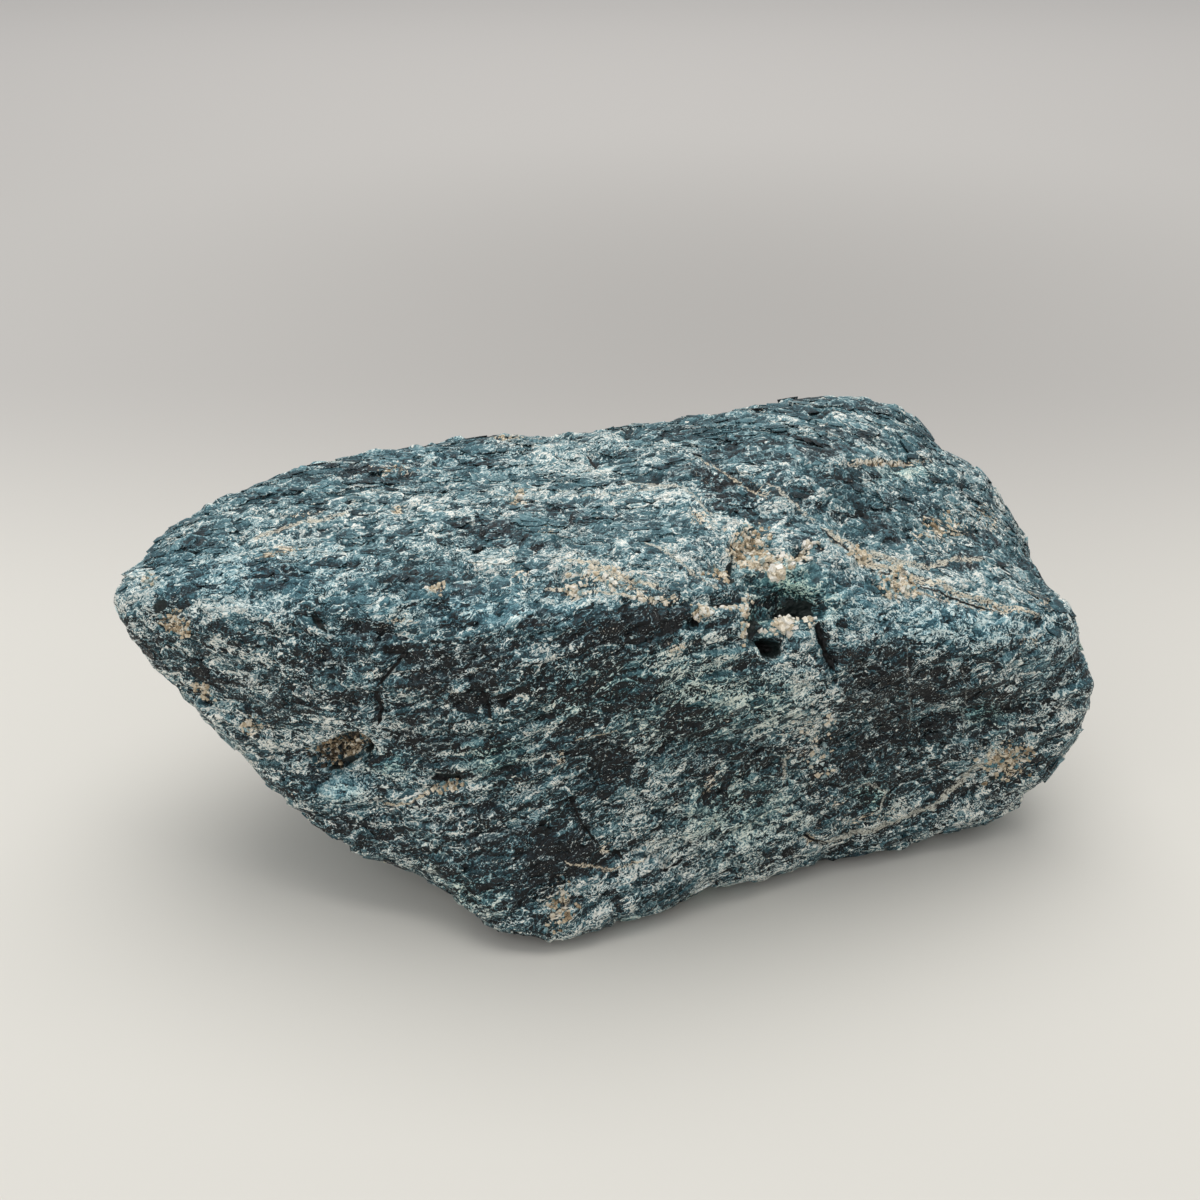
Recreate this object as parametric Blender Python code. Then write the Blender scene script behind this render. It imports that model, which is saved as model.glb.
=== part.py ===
"""A rough lump of blue apatite that rests on a small flat spot, as one closed solid.

The stone is measured along sight lines. A point of its outline or of a ridge is given by the
place where the photograph shows it and by one real size, its depth behind the ridge or its
height over the floor, and the sight line gives the other two. The hidden side is given by
plain positions. One smooth skin is then drawn through all of these points, two hollows are
sunk into it, and the floor cuts it flat where the stone rests.
"""

import math

import bmesh
import bpy
import numpy as np
from mathutils import Vector, noise

STONE_LENGTH = 0.240
FLOOR_TO_RIDGE = 0.0853

# The sight lines: the photograph's frame, and where it was taken from.
FRAME_PIXELS = 1200
FOCAL_PIXELS = FRAME_PIXELS * 50 / 36
EYE_DISTANCE = 0.362
EYE_ELEVATION = math.radians(28)

# The skin's own centre, half sizes and softness. A larger softness rounds the ridges more.
SKIN_CENTRE = np.array([0.004, 0.040, 0.048])
SKIN_HALF_SIZES = np.array([0.120, 0.058, 0.050])
RIDGE_SOFTNESS = 0.07

# The rim round the flat spot: a larger sharpness rounds it less. The overcut presses the middle
# of the flat spot fully on to the floor, which the rounding alone would only come near.
RIM_SHARPNESS = 24
RIM_OVERCUT = 1.005

# Facets along each edge of the cube that the skin is folded from.
FACETS_PER_EDGE = 28

# Slow swells of the fracture faces: how far they rise, how far apart they are, and how many
# finer ones ride on them, each half as far apart as the one before.
SWELL_HEIGHT = 0.0011
SWELL_SPACING = 0.020
FINER_SWELLS = 3

# Outline of the stone, clockwise from the nose at the left: pixel x, pixel y, depth in metres.
# Every pixel here is one of the square frame's, counted from its upper left corner.
OUTLINE = (
    (119, 600, 0.028), (127, 580, 0.032), (143, 561, 0.038), (190, 518, 0.050), (245, 489, 0.060),
    (300, 469, 0.068), (370, 451, 0.072), (440, 447, 0.073), (510, 437, 0.076),
    (590, 431, 0.078), (660, 424, 0.080), (720, 412, 0.082), (775, 403, 0.084),
    (830, 400, 0.084), (895, 404, 0.088), (920, 425, 0.085), (930, 447, 0.080),
    (965, 463, 0.076), (992, 490, 0.070), (1008, 530, 0.060), (1030, 572, 0.048),
    (1043, 591, 0.042), (1060, 602, 0.040), (1073, 642, 0.035), (1084, 690, 0.034),
    (1079, 722, 0.034), (1055, 757, 0.032), (1035, 775, 0.031), (1018, 800, 0.034),
    (995, 818, 0.031), (940, 833, 0.026), (880, 852, 0.019), (830, 857, 0.015),
    (790, 866, 0.012), (720, 885, 0.004), (650, 916, -0.006), (590, 932, -0.012),
    (545, 941, -0.015), (510, 937, -0.013), (478, 922, -0.010), (462, 902, -0.006),
    (420, 873, 0.000), (375, 856, 0.002), (335, 832, 0.005), (310, 805, 0.006),
    (290, 775, 0.008), (250, 745, 0.012), (205, 706, 0.015), (165, 672, 0.020),
    (135, 632, 0.024),
)

# The long ridge between the top face and the front face, from the nose to the right end.
RIDGE = (
    (185, 600, 0.017), (240, 612, 0.012), (300, 620, 0.009), (400, 632, 0.003),
    (500, 618, -0.001), (600, 600, 0.000), (690, 598, 0.002), (850, 605, 0.012),
    (930, 605, 0.020), (1010, 612, 0.028), (1062, 632, 0.032),
)

# The front face, from its middle height down, and the chamfer at its left.
FRONT = (
    (200, 650, 0.015), (240, 700, 0.012), (300, 765, 0.008),
    (300, 700, 0.006), (400, 740, 0.001), (500, 760, -0.005), (600, 760, -0.004),
    (700, 740, 0.001), (780, 740, 0.007), (860, 730, 0.015), (950, 720, 0.024),
    (1040, 700, 0.030), (400, 830, 0.000), (500, 880, -0.011), (600, 880, -0.009),
    (700, 840, 0.000), (800, 820, 0.010), (900, 800, 0.020), (980, 780, 0.027),
)

# The top face: pixel x, pixel y, height over the floor in metres.
TOP = (
    (175, 565, 0.0775), (300, 545, 0.084), (450, 540, 0.088), (600, 520, 0.091),
    (720, 500, 0.093), (800, 460, 0.098), (850, 530, 0.085), (900, 470, 0.090),
    (950, 540, 0.078), (1000, 580, 0.071), (450, 480, 0.089), (620, 465, 0.093),
)

# Hollows where crystals fell out: pixel x, pixel y, depth, width and drop in metres.
HOLLOWS = (
    (768, 605, 0.012, 0.0095, 0.0080),
    (345, 752, 0.006, 0.0060, 0.0030),
)

# The back and the underside, which the photograph doesn't show: plain positions.
HIDDEN = (
    (-0.095, 0.066, 0.070), (-0.068, 0.088, 0.064), (-0.030, 0.096, 0.052),
    (0.015, 0.100, 0.055), (0.060, 0.104, 0.060), (0.098, 0.094, 0.054),
    (0.117, 0.048, 0.042), (0.111, 0.066, 0.038), (0.109, 0.056, 0.058),
    (0.113, 0.052, 0.022), (0.075, 0.098, 0.025), (0.020, 0.094, 0.020),
    (-0.035, 0.086, 0.020), (0.104, 0.056, 0.009), (0.095, 0.076, 0.014),
    (0.040, 0.088, 0.007), (-0.015, 0.076, 0.008), (-0.032, 0.025, 0.006),
    (-0.055, 0.030, 0.018), (-0.060, 0.068, 0.028), (-0.090, 0.040, 0.042),
    (-0.101, 0.056, 0.056), (-0.109, 0.044, 0.064), (-0.106, 0.030, 0.055),
    (-0.012, 0.016, -0.006), (0.000, 0.040, -0.010), (0.040, 0.034, -0.008),
    (0.040, 0.056, -0.008), (0.078, 0.050, -0.003), (0.000, 0.068, -0.005),
    (0.066, 0.074, -0.004),
)


def sight_point(pixel_x, pixel_y, depth=None, height=None):
    """Where the sight line through a pixel meets a given depth (along +Y) or a given height."""
    right = pixel_x - FRAME_PIXELS / 2
    up = FRAME_PIXELS / 2 - pixel_y
    ray = np.array([
        right,
        FOCAL_PIXELS * math.cos(EYE_ELEVATION) + up * math.sin(EYE_ELEVATION),
        -FOCAL_PIXELS * math.sin(EYE_ELEVATION) + up * math.cos(EYE_ELEVATION),
    ])
    eye = np.array([
        0.0,
        -EYE_DISTANCE * math.cos(EYE_ELEVATION),
        FLOOR_TO_RIDGE + EYE_DISTANCE * math.sin(EYE_ELEVATION),
    ])
    if depth is not None:
        steps = (depth - eye[1]) / ray[1]
    else:
        steps = (height - eye[2]) / ray[2]
    return eye + steps * ray


def known_points():
    """Every point that the skin passes through, in metres."""
    by_depth = [sight_point(x, y, depth=d) for x, y, d in OUTLINE + RIDGE + FRONT]
    by_height = [sight_point(x, y, height=h) for x, y, h in TOP]
    return np.array(by_depth + by_height + [np.array(p) for p in HIDDEN])


def directions_and_reach(points):
    """Unit directions from the skin's centre, and how far out each point lies, in half sizes."""
    scaled = (points - SKIN_CENTRE) / SKIN_HALF_SIZES
    reach = np.linalg.norm(scaled, axis=1)
    return scaled / reach[:, None], reach


def softened_distance(a, b):
    """Distance between every direction in a and every one in b, rounded off near zero."""
    gaps = np.linalg.norm(a[:, None, :] - b[None, :, :], axis=2)
    return np.sqrt(gaps**2 + RIDGE_SOFTNESS**2)


def skin_reach(directions):
    """How far out the skin lies along each direction, so that it passes through every known point."""
    known, reach = directions_and_reach(known_points())
    mean = reach.mean()
    weights = np.linalg.solve(softened_distance(known, known), reach - mean)
    return mean + softened_distance(directions, known) @ weights


def folded_cube():
    """A cube cut into a grid of facets, with its corners in Blender's own order."""
    mesh = bmesh.new()
    bmesh.ops.create_cube(mesh, size=2.0)
    bmesh.ops.subdivide_edges(
        mesh, edges=mesh.edges[:], cuts=FACETS_PER_EDGE - 1, use_grid_fill=True
    )
    return mesh


def sphere_directions(mesh):
    """Unit directions of the cube's grid. The tangent spreads the facets evenly over the sphere."""
    grid = np.array([v.co[:] for v in mesh.verts])
    spread = np.tan(grid * math.pi / 4)
    return spread / np.linalg.norm(spread, axis=1)[:, None]


def swell(position):
    """A slow rise or fall of the surface at a position, in metres."""
    roughness, spacing_step = 1.0, 2.0
    place = Vector(position) / SWELL_SPACING
    return SWELL_HEIGHT * noise.fractal(place, roughness, spacing_step, FINER_SWELLS)


def hollow_depth(positions):
    """How far the hollows sink the surface at each position: a round bell for each hollow."""
    sunk = np.zeros(len(positions))
    for pixel_x, pixel_y, depth, width, drop in HOLLOWS:
        middle = sight_point(pixel_x, pixel_y, depth=depth)
        gap = np.linalg.norm(positions - middle, axis=1)
        sunk += drop * np.exp(-((gap / width) ** 2))
    return sunk


def cut_by_floor(directions, reach):
    """The reach, held back where it would pass the floor, with a rounded rim round the flat spot."""
    down = np.minimum(directions[:, 2], -1e-9)
    floor_reach = SKIN_CENTRE[2] / (-down * SKIN_HALF_SIZES[2])
    both = (reach / floor_reach) ** RIM_SHARPNESS
    rounded = reach / (1 + both) ** (1 / RIM_SHARPNESS)
    return np.minimum(rounded * RIM_OVERCUT, floor_reach)


def stone_positions(directions):
    """The skin with its swells and hollows, cut flat by the table, in metres."""
    reach = skin_reach(directions)
    positions = SKIN_CENTRE + SKIN_HALF_SIZES * directions * reach[:, None]
    outward = np.linalg.norm(SKIN_HALF_SIZES * directions, axis=1)
    raised = np.array([swell(p) for p in positions]) - hollow_depth(positions)
    reach = reach + raised / outward
    reach = cut_by_floor(directions, reach)
    return SKIN_CENTRE + SKIN_HALF_SIZES * directions * reach[:, None]


def centred(positions):
    """The stone at its stated length, with the middle of its footprint's box at the origin."""
    low, high = positions.min(axis=0), positions.max(axis=0)
    scale = STONE_LENGTH / (high[0] - low[0])
    foot = np.array([(low[0] + high[0]) / 2, (low[1] + high[1]) / 2, low[2]])
    return (positions - foot) * scale


def apatite_material():
    """Dull blue-green stone with a faint glassy lustre."""
    material = bpy.data.materials.new("blue_apatite")
    material.use_nodes = True
    surface = material.node_tree.nodes["Principled BSDF"]
    surface.inputs["Base Color"].default_value = (0.075, 0.135, 0.155, 1.0)
    surface.inputs["Roughness"].default_value = 0.5
    surface.inputs["Metallic"].default_value = 0.0
    return material


def build_stone():
    mesh = folded_cube()
    positions = centred(stone_positions(sphere_directions(mesh)))
    for vertex, position in zip(mesh.verts, positions):
        vertex.co = position
    bmesh.ops.recalc_face_normals(mesh, faces=mesh.faces[:])
    data = bpy.data.meshes.new("apatite_stone")
    mesh.to_mesh(data)
    mesh.free()
    data.shade_smooth()
    data.materials.append(apatite_material())
    stone = bpy.data.objects.new("apatite_stone", data)
    bpy.context.scene.collection.objects.link(stone)
    return stone


for leftover in list(bpy.data.objects):
    bpy.data.objects.remove(leftover)
build_stone()
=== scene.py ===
# %% [markdown]
# # A rough lump of blue apatite
#
# The object is one stone: massive blue apatite, broken out of its rock and never cut. It is a
# heap of flakes pressed into layers, slate dark where a flake shows its flat side and pale
# where its edge is bruised. Cream and tan minerals fill the old cracks.
#
# The lesson takes the measured solid as a frame and lays a fine skin over it. The frame gives
# the size and the place, and the skin gives what the eye sees: ledges, chips, cracks, a hollow
# with crystals, and a finish that knows where all of these are.

# %% Load the frame
import math

import bmesh
import bpy
import numpy as np
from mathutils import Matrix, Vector


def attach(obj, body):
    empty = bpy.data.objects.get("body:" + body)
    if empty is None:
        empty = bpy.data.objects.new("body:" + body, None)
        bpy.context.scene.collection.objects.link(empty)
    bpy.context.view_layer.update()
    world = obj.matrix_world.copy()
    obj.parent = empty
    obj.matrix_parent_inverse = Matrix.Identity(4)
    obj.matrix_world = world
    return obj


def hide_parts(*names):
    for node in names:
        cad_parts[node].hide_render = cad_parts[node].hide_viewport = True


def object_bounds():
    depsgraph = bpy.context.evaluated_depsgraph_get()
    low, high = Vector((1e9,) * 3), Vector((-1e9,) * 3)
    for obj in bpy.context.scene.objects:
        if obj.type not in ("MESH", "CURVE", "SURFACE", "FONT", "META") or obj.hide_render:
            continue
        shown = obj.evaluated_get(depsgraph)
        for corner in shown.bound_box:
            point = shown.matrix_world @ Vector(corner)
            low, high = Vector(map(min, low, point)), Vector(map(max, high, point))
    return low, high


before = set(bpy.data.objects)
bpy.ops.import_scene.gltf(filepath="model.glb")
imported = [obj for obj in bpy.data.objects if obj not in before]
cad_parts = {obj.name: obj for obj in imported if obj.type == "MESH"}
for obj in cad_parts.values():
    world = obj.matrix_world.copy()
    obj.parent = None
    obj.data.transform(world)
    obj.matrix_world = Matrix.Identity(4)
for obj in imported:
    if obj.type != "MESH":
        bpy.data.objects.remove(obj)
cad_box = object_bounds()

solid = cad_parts["apatite_stone"]
print("solid from", [round(v, 4) for v in cad_box[0]], "to", [round(v, 4) for v in cad_box[1]])

# %% [markdown]
# ## The eye
#
# The photograph looks down on the stone by 28 degrees. Its lens isn't known, so a plain 50 mm
# lens is taken, and the eye is moved until the solid's outline touches the same left, right and
# bottom pixels as the stone does in the photograph. That could be done by hand in the viewport.
# A small loop does it here, because every mark that is placed by a pixel depends on it.

# %% Find the eye
FRAME_PIXELS = 1200
LENS_MM = 50.0
SENSOR_MM = 36.0
FOCAL_PIXELS = FRAME_PIXELS * LENS_MM / SENSOR_MM
MIDDLE_PIXEL = FRAME_PIXELS / 2
EYE_ELEVATION = math.radians(28)
OUTLINE_LEFT = 113
OUTLINE_RIGHT = 1096
OUTLINE_BOTTOM = 941
FIRST_EYE = (0.0, -0.36, 0.25)
AIMING_ROUNDS = 60

ACROSS = np.array([1.0, 0.0, 0.0])
AHEAD = np.array([0.0, math.cos(EYE_ELEVATION), -math.sin(EYE_ELEVATION)])
ABOVE = np.array([0.0, math.sin(EYE_ELEVATION), math.cos(EYE_ELEVATION)])


def vertex_places(mesh):
    """The places of a mesh's vertices, as rows of x, y and z."""
    flat = np.empty(len(mesh.vertices) * 3)
    mesh.vertices.foreach_get("co", flat)
    return flat.reshape(-1, 3)


def seen_at(places, eye):
    """Pixel x, pixel y and distance ahead: the place across, above and ahead of the eye, with
    the first two divided by the third and stretched by the lens."""
    gap = places - eye
    ahead = gap @ AHEAD
    pixel_x = MIDDLE_PIXEL + FOCAL_PIXELS * (gap @ ACROSS) / ahead
    pixel_y = MIDDLE_PIXEL - FOCAL_PIXELS * (gap @ ABOVE) / ahead
    return pixel_x, pixel_y, ahead


def aimed_eye(places):
    """Moves the eye sideways, forwards and up until the outline touches its three pixels."""
    eye = np.array(FIRST_EYE)
    for _ in range(AIMING_ROUNDS):
        pixel_x, pixel_y, ahead = seen_at(places, eye)
        metres_per_pixel = ahead.mean() / FOCAL_PIXELS
        width = pixel_x.max() - pixel_x.min()
        off_middle = (pixel_x.max() + pixel_x.min() - OUTLINE_LEFT - OUTLINE_RIGHT) / 2
        eye = eye + ACROSS * off_middle * metres_per_pixel
        eye = eye + AHEAD * ahead.mean() * (1 - width / (OUTLINE_RIGHT - OUTLINE_LEFT))
        eye = eye + ABOVE * (OUTLINE_BOTTOM - pixel_y.max()) * metres_per_pixel
    return eye


EYE = aimed_eye(vertex_places(solid.data))
found_x, found_y, _ = seen_at(vertex_places(solid.data), EYE)
print("eye at", EYE.round(4), "outline x", found_x.min().round(1), found_x.max().round(1),
      "y", found_y.min().round(1), found_y.max().round(1))

# %% Camera
camera_data = bpy.data.cameras.new("camera")
camera_data.lens = LENS_MM
camera_data.sensor_width = SENSOR_MM
camera_data.clip_start = 0.01
camera = bpy.data.objects.new("camera", camera_data)
camera.location = EYE
camera.rotation_euler = (math.pi / 2 - EYE_ELEVATION, 0.0, 0.0)
bpy.context.scene.collection.objects.link(camera)
bpy.context.scene.camera = camera
print("camera looks down by", round(math.degrees(EYE_ELEVATION), 1), "degrees")

# %% [markdown]
# ## Noise
#
# Broken stone has no plan, so most of its shape comes from random numbers that depend on the
# place alone. Blender has such textures, but they can't be read back into a mesh. Here they are
# short array functions: a hash turns a whole-number cell into a random number, and the rest is
# blending. The same seed always gives the same stone.

# %% Random numbers for places
# Large odd numbers, which stir the bits of a cell's three numbers and of the seed.
X_STIR, Y_STIR, Z_STIR, SEED_STIR = 73856093, 19349663, 83492791, 2654435761
FIRST_STIR, SECOND_STIR = 2246822519, 3266489917
LOW_BITS = 2**32 - 1
OCTAVE_SHIFT = 17.3
OWN_SEED_SHIFT = 101


def cell_random(cells, seed):
    """Three numbers from 0 to 1 for each whole-number cell: the cell's numbers are multiplied by
    large odd numbers, joined bit by bit and folded over themselves three times."""
    x, y, z = cells.astype(np.int64).T
    mixed = (x * X_STIR) ^ (y * Y_STIR) ^ (z * Z_STIR) ^ (seed * SEED_STIR)
    out = []
    for _ in range(3):
        mixed = (mixed ^ (mixed >> 15)) * FIRST_STIR & LOW_BITS
        mixed = (mixed ^ (mixed >> 13)) * SECOND_STIR & LOW_BITS
        mixed = mixed ^ (mixed >> 16)
        out.append(mixed / (LOW_BITS + 1))
    return np.stack(out, axis=1)


def smooth_noise(places, seed):
    """From -1 to 1: a random number at each corner of the place's cell, blended by the place's
    distance from each, on a curve that is level at both ends."""
    cell = np.floor(places)
    inside = places - cell
    curve = inside * inside * (3 - 2 * inside)
    total = np.zeros(len(places))
    for corner in np.ndindex(2, 2, 2):
        share = np.prod(np.where(corner, curve, 1 - curve), axis=1)
        total += share * cell_random(cell + corner, seed)[:, 0]
    return total * 2 - 1


def fractal(places, seed, octaves=4, fade=0.5):
    """Noise, plus noise of half its size and `fade` its height, and so on."""
    total = np.zeros(len(places))
    height = 1.0
    for octave in range(octaves):
        total += height * smooth_noise(places * 2.0**octave + OCTAVE_SHIFT * octave, seed + octave)
        height *= fade
    return total


def chips(places, seed):
    """Splits space into irregular chips around one random centre in each cell. It gives the
    place seen from its chip's centre and three random numbers that belong to the chip."""
    cell = np.floor(places)
    nearest = np.full(len(places), 9.0)
    centre = np.zeros_like(places)
    home = np.zeros_like(places)
    for step in np.ndindex(3, 3, 3):
        neighbour = cell + np.array(step) - 1
        point = neighbour + cell_random(neighbour, seed)
        gap = np.linalg.norm(places - point, axis=1)
        closer = gap < nearest
        nearest = np.where(closer, gap, nearest)
        centre[closer] = point[closer]
        home[closer] = neighbour[closer]
    return places - centre, cell_random(home, seed + OWN_SEED_SHIFT)


def eased(value, low, high):
    """0 below low, 1 above high, and a curve that is level at both ends between them."""
    share = np.clip((value - low) / (high - low), 0.0, 1.0)
    return share * share * (3 - 2 * share)


probed = smooth_noise(np.random.default_rng(1).uniform(-9, 9, (4000, 3)), 3)
print("noise from", probed.min().round(2), "to", probed.max().round(2))

# %% [markdown]
# ## The fine skin
#
# The solid has about nine thousand triangles, some 4 mm across. The skin is a grid folded round
# a cube and blown up to a ball, with over twenty times as many. Each point of the ball is sent
# straight inwards until it meets the solid, which is rounded first so that its facets don't
# show. A ball has no poles this way, and the grid stays even all round.

# %% Fold a grid round a cube
CELLS_PER_EDGE = 128
BALL_RADIUS = 0.3
BALL_STRETCH = np.array([0.120, 0.060, 0.050])
# Keeps a division from meeting a zero.
TINY = 1e-12
# Where the grid is finer: the direction from the stone's middle, how much, and how far round.
FINER_SPOTS = (((0.1, -0.8, 0.6), 0.20, 1.1), ((0.48, -0.62, 0.60), 0.46, 0.20))


def folded_grid(cells):
    """Six square grids, one for each side of a cube, joined where they meet. A grid point is
    three whole numbers, so that points shared by two sides are found exactly."""
    first, second = np.meshgrid(np.arange(cells + 1), np.arange(cells + 1), indexing="ij")
    low = np.zeros_like(first)
    high = np.full_like(first, cells)
    sides = ((high, first, second), (low, second, first), (second, high, first),
             (first, low, second), (first, second, high), (second, first, low))
    points = np.concatenate([np.stack([s.ravel() for s in side], axis=1) for side in sides])
    number = np.arange((cells + 1) ** 2).reshape(cells + 1, cells + 1)
    corners = (number[:-1, :-1], number[1:, :-1], number[1:, 1:], number[:-1, 1:])
    one_side = np.stack([c.ravel() for c in corners], axis=1)
    quads = np.concatenate([one_side + side * number.size for side in range(6)])
    shared, new_number = np.unique(points, axis=0, return_inverse=True)
    return shared, new_number.ravel()[quads]


def unit(vectors):
    """Vectors scaled to a length of one."""
    return vectors / np.linalg.norm(vectors, axis=-1, keepdims=True)


def drawn_together(directions, spot, strength, reach):
    """Turns directions towards a spot: the angle from it shrinks by the strength near the spot,
    and less and less beyond the reach, so the grid is finer there."""
    cosine = np.clip(directions @ spot, -1.0, 1.0)
    angle = np.arccos(cosine)
    kept = angle * (1 - strength * np.exp(-((angle / reach) ** 2)))
    sideways = directions - cosine[:, None] * spot
    sideways /= np.maximum(np.linalg.norm(sideways, axis=1), TINY)[:, None]
    return np.cos(kept)[:, None] * spot + np.sin(kept)[:, None] * sideways


def ball(grid, cells):
    """Unit directions of the folded grid. The tangent spreads them evenly, the stretch gives
    the long sides of the stone as many as its ends, and the finer spots draw them together."""
    cube = np.tan((grid / cells * 2 - 1) * math.pi / 4)
    directions = unit(unit(cube) * BALL_STRETCH)
    for towards, strength, reach in FINER_SPOTS:
        directions = drawn_together(directions, unit(np.array(towards)), strength, reach)
    return directions


GRID, QUADS = folded_grid(CELLS_PER_EDGE)
DIRECTIONS = ball(GRID, CELLS_PER_EDGE)
print("grid of", len(GRID), "points and", len(QUADS), "squares")

# %% Wrap the ball on to the rounded solid
def new_object(name, mesh):
    """An object at the origin that shows a mesh."""
    made = bpy.data.objects.new(name, mesh)
    bpy.context.scene.collection.objects.link(made)
    return made


def rounded_copy(source):
    """A copy of the solid's mesh with its loose triangles merged and its facets rounded."""
    mesh = source.data.copy()
    joined = bmesh.new()
    joined.from_mesh(mesh)
    bmesh.ops.remove_doubles(joined, verts=joined.verts[:], dist=0.00001)
    joined.to_mesh(mesh)
    joined.free()
    copy = new_object("rounded_solid", mesh)
    rounding = copy.modifiers.new("rounding", "SUBSURF")
    rounding.levels = 2
    rounding.render_levels = 2
    return copy


def wrapped(directions, quads, middle, target):
    """Where the lines from a wide ball to its middle first meet the target."""
    mesh = bpy.data.meshes.new("ball")
    mesh.from_pydata(middle + directions * BALL_RADIUS, [], quads)
    ball_object = new_object("ball", mesh)
    wrap = ball_object.modifiers.new("wrap", "SHRINKWRAP")
    wrap.target = target
    wrap.wrap_method = "PROJECT"
    wrap.use_positive_direction = False
    wrap.use_negative_direction = True
    graph = bpy.context.evaluated_depsgraph_get()
    places = vertex_places(ball_object.evaluated_get(graph).to_mesh())
    bpy.data.objects.remove(ball_object)
    return places


rounded = rounded_copy(solid)
MIDDLE = (np.array(cad_box[0]) + np.array(cad_box[1])) / 2
BASE = wrapped(DIRECTIONS, QUADS, MIDDLE, rounded)
bpy.data.objects.remove(rounded)
print("skin from", BASE.min(axis=0).round(4), "to", BASE.max(axis=0).round(4))

# %% Skin directions
def outward(places, quads):
    """Unit normals: the cross product of each square's diagonals, added up at its corners."""
    diagonals = np.cross(places[quads[:, 2]] - places[quads[:, 0]],
                         places[quads[:, 3]] - places[quads[:, 1]])
    normals = np.zeros_like(places)
    for corner in range(4):
        for axis in range(3):
            normals[:, axis] += np.bincount(quads[:, corner], diagonals[:, axis], len(places))
    return normals / np.maximum(np.linalg.norm(normals, axis=1), TINY)[:, None]


def neighbour_mean(values, quads):
    """The mean of each point's neighbours along the grid."""
    total = np.zeros_like(values)
    count = np.zeros(len(values))
    for corner in range(4):
        here, there = quads[:, corner], quads[:, (corner + 1) % 4]
        for a, b in ((here, there), (there, here)):
            count += np.bincount(a, minlength=len(values))
            for axis in range(values.shape[1]):
                total[:, axis] += np.bincount(a, values[b, axis], len(values))
    return total / count[:, None]


NORMALS = outward(BASE, QUADS)
print("mean outward reach", ((BASE - MIDDLE) * NORMALS).sum(axis=1).mean().round(4))

# %% [markdown]
# ## Broken faces
#
# The flakes lie along one another like leaves in a stream. Seen from the front they climb to
# the right, most of all in the middle, and seen from above they run nearly along X. So places
# are first slid down and back by how far the stream has climbed there, and every pattern is
# then stretched along X. Three sizes of break are added up: slow swells, ledges where a layer
# stops, and flat chips that each lean their own way.

# %% The stream of flakes
MM = 0.001
STREAM_CLIMB = 0.05
STREAM_WAVE = 15.5 * MM
STREAM_WAVE_MIDDLE = -10 * MM
STREAM_WAVE_HALF = 45 * MM
STREAM_SLANT = 0.15


def along_stream(places):
    """Places slid back to where the stream is level: z less a slope and a soft step (a tanh),
    and y plus a slant, both worked out from x."""
    x, y, z = places.T
    step = STREAM_WAVE * np.tanh((x - STREAM_WAVE_MIDDLE) / STREAM_WAVE_HALF)
    return np.stack([x, y + STREAM_SLANT * x, z - STREAM_CLIMB * x - step], axis=1)


def stream_heading(places):
    """The way that the stream runs at each place: one step along X, with the slope of what
    along_stream takes off. The slope of a tanh is one less its square."""
    wave = np.tanh((places[:, 0] - STREAM_WAVE_MIDDLE) / STREAM_WAVE_HALF)
    climb = STREAM_CLIMB + STREAM_WAVE / STREAM_WAVE_HALF * (1 - wave**2)
    return unit(np.stack([np.ones(len(places)), np.full(len(places), -STREAM_SLANT), climb], axis=1))


def in_flakes(places, long_mm, wide_mm, thick_mm):
    """Places counted in flakes of that length, width and thickness, along the stream."""
    return along_stream(places) / (np.array([long_mm, wide_mm, thick_mm]) * MM)

# %% Swells, ledges and chips
# In millimetres: how wide each is, and how far it pushes the skin.
BEND_WIDE, BEND_PUSH = 14, 2.2
SWELL_WIDE, SWELL_HIGH = 24, 1.0
LEDGE_PATCH_WIDE, LEDGE_HIGH = 26, 1.0
# The layers' width and thickness, how wide their bends are, and how many layers these shift.
LAYER_WIDE, LAYER_THICK = 30, 7.5
LAYER_BEND_WIDE, LAYER_BEND = 30, 0.9
# Length, width and thickness, then how far a chip leans and how far it is pushed in or out.
BIG_CHIP, BIG_LEAN, BIG_STEP = (13, 9, 6.5), 0.9, 1.1
SMALL_CHIP, SMALL_LEAN, SMALL_STEP = (5.5, 4.4, 2.8), 0.8, 0.7
GRAIN, GRAIN_HIGH = (2.4, 2.0, 1.4), 0.14
END_CALM = 0.5
BACK_FACET_SIZES = (36, 26, 24)
BACK_LEAN = 2.6 * MM
BACK_SUNK = 1.3 * MM


def back_facets(bent):
    """Broad breaks on the side that the photograph doesn't show, where the solid is rounded: each
    leans its own way, all are sunk a little, and they fade out where the skin turns forwards."""
    broad, own = chips(in_flakes(bent, *BACK_FACET_SIZES), 45)
    lean = (broad * (own * 2 - 1)).sum(axis=1) * BACK_LEAN - BACK_SUNK
    return lean * eased(NORMALS[:, 1], 0.15, 0.60)


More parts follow.
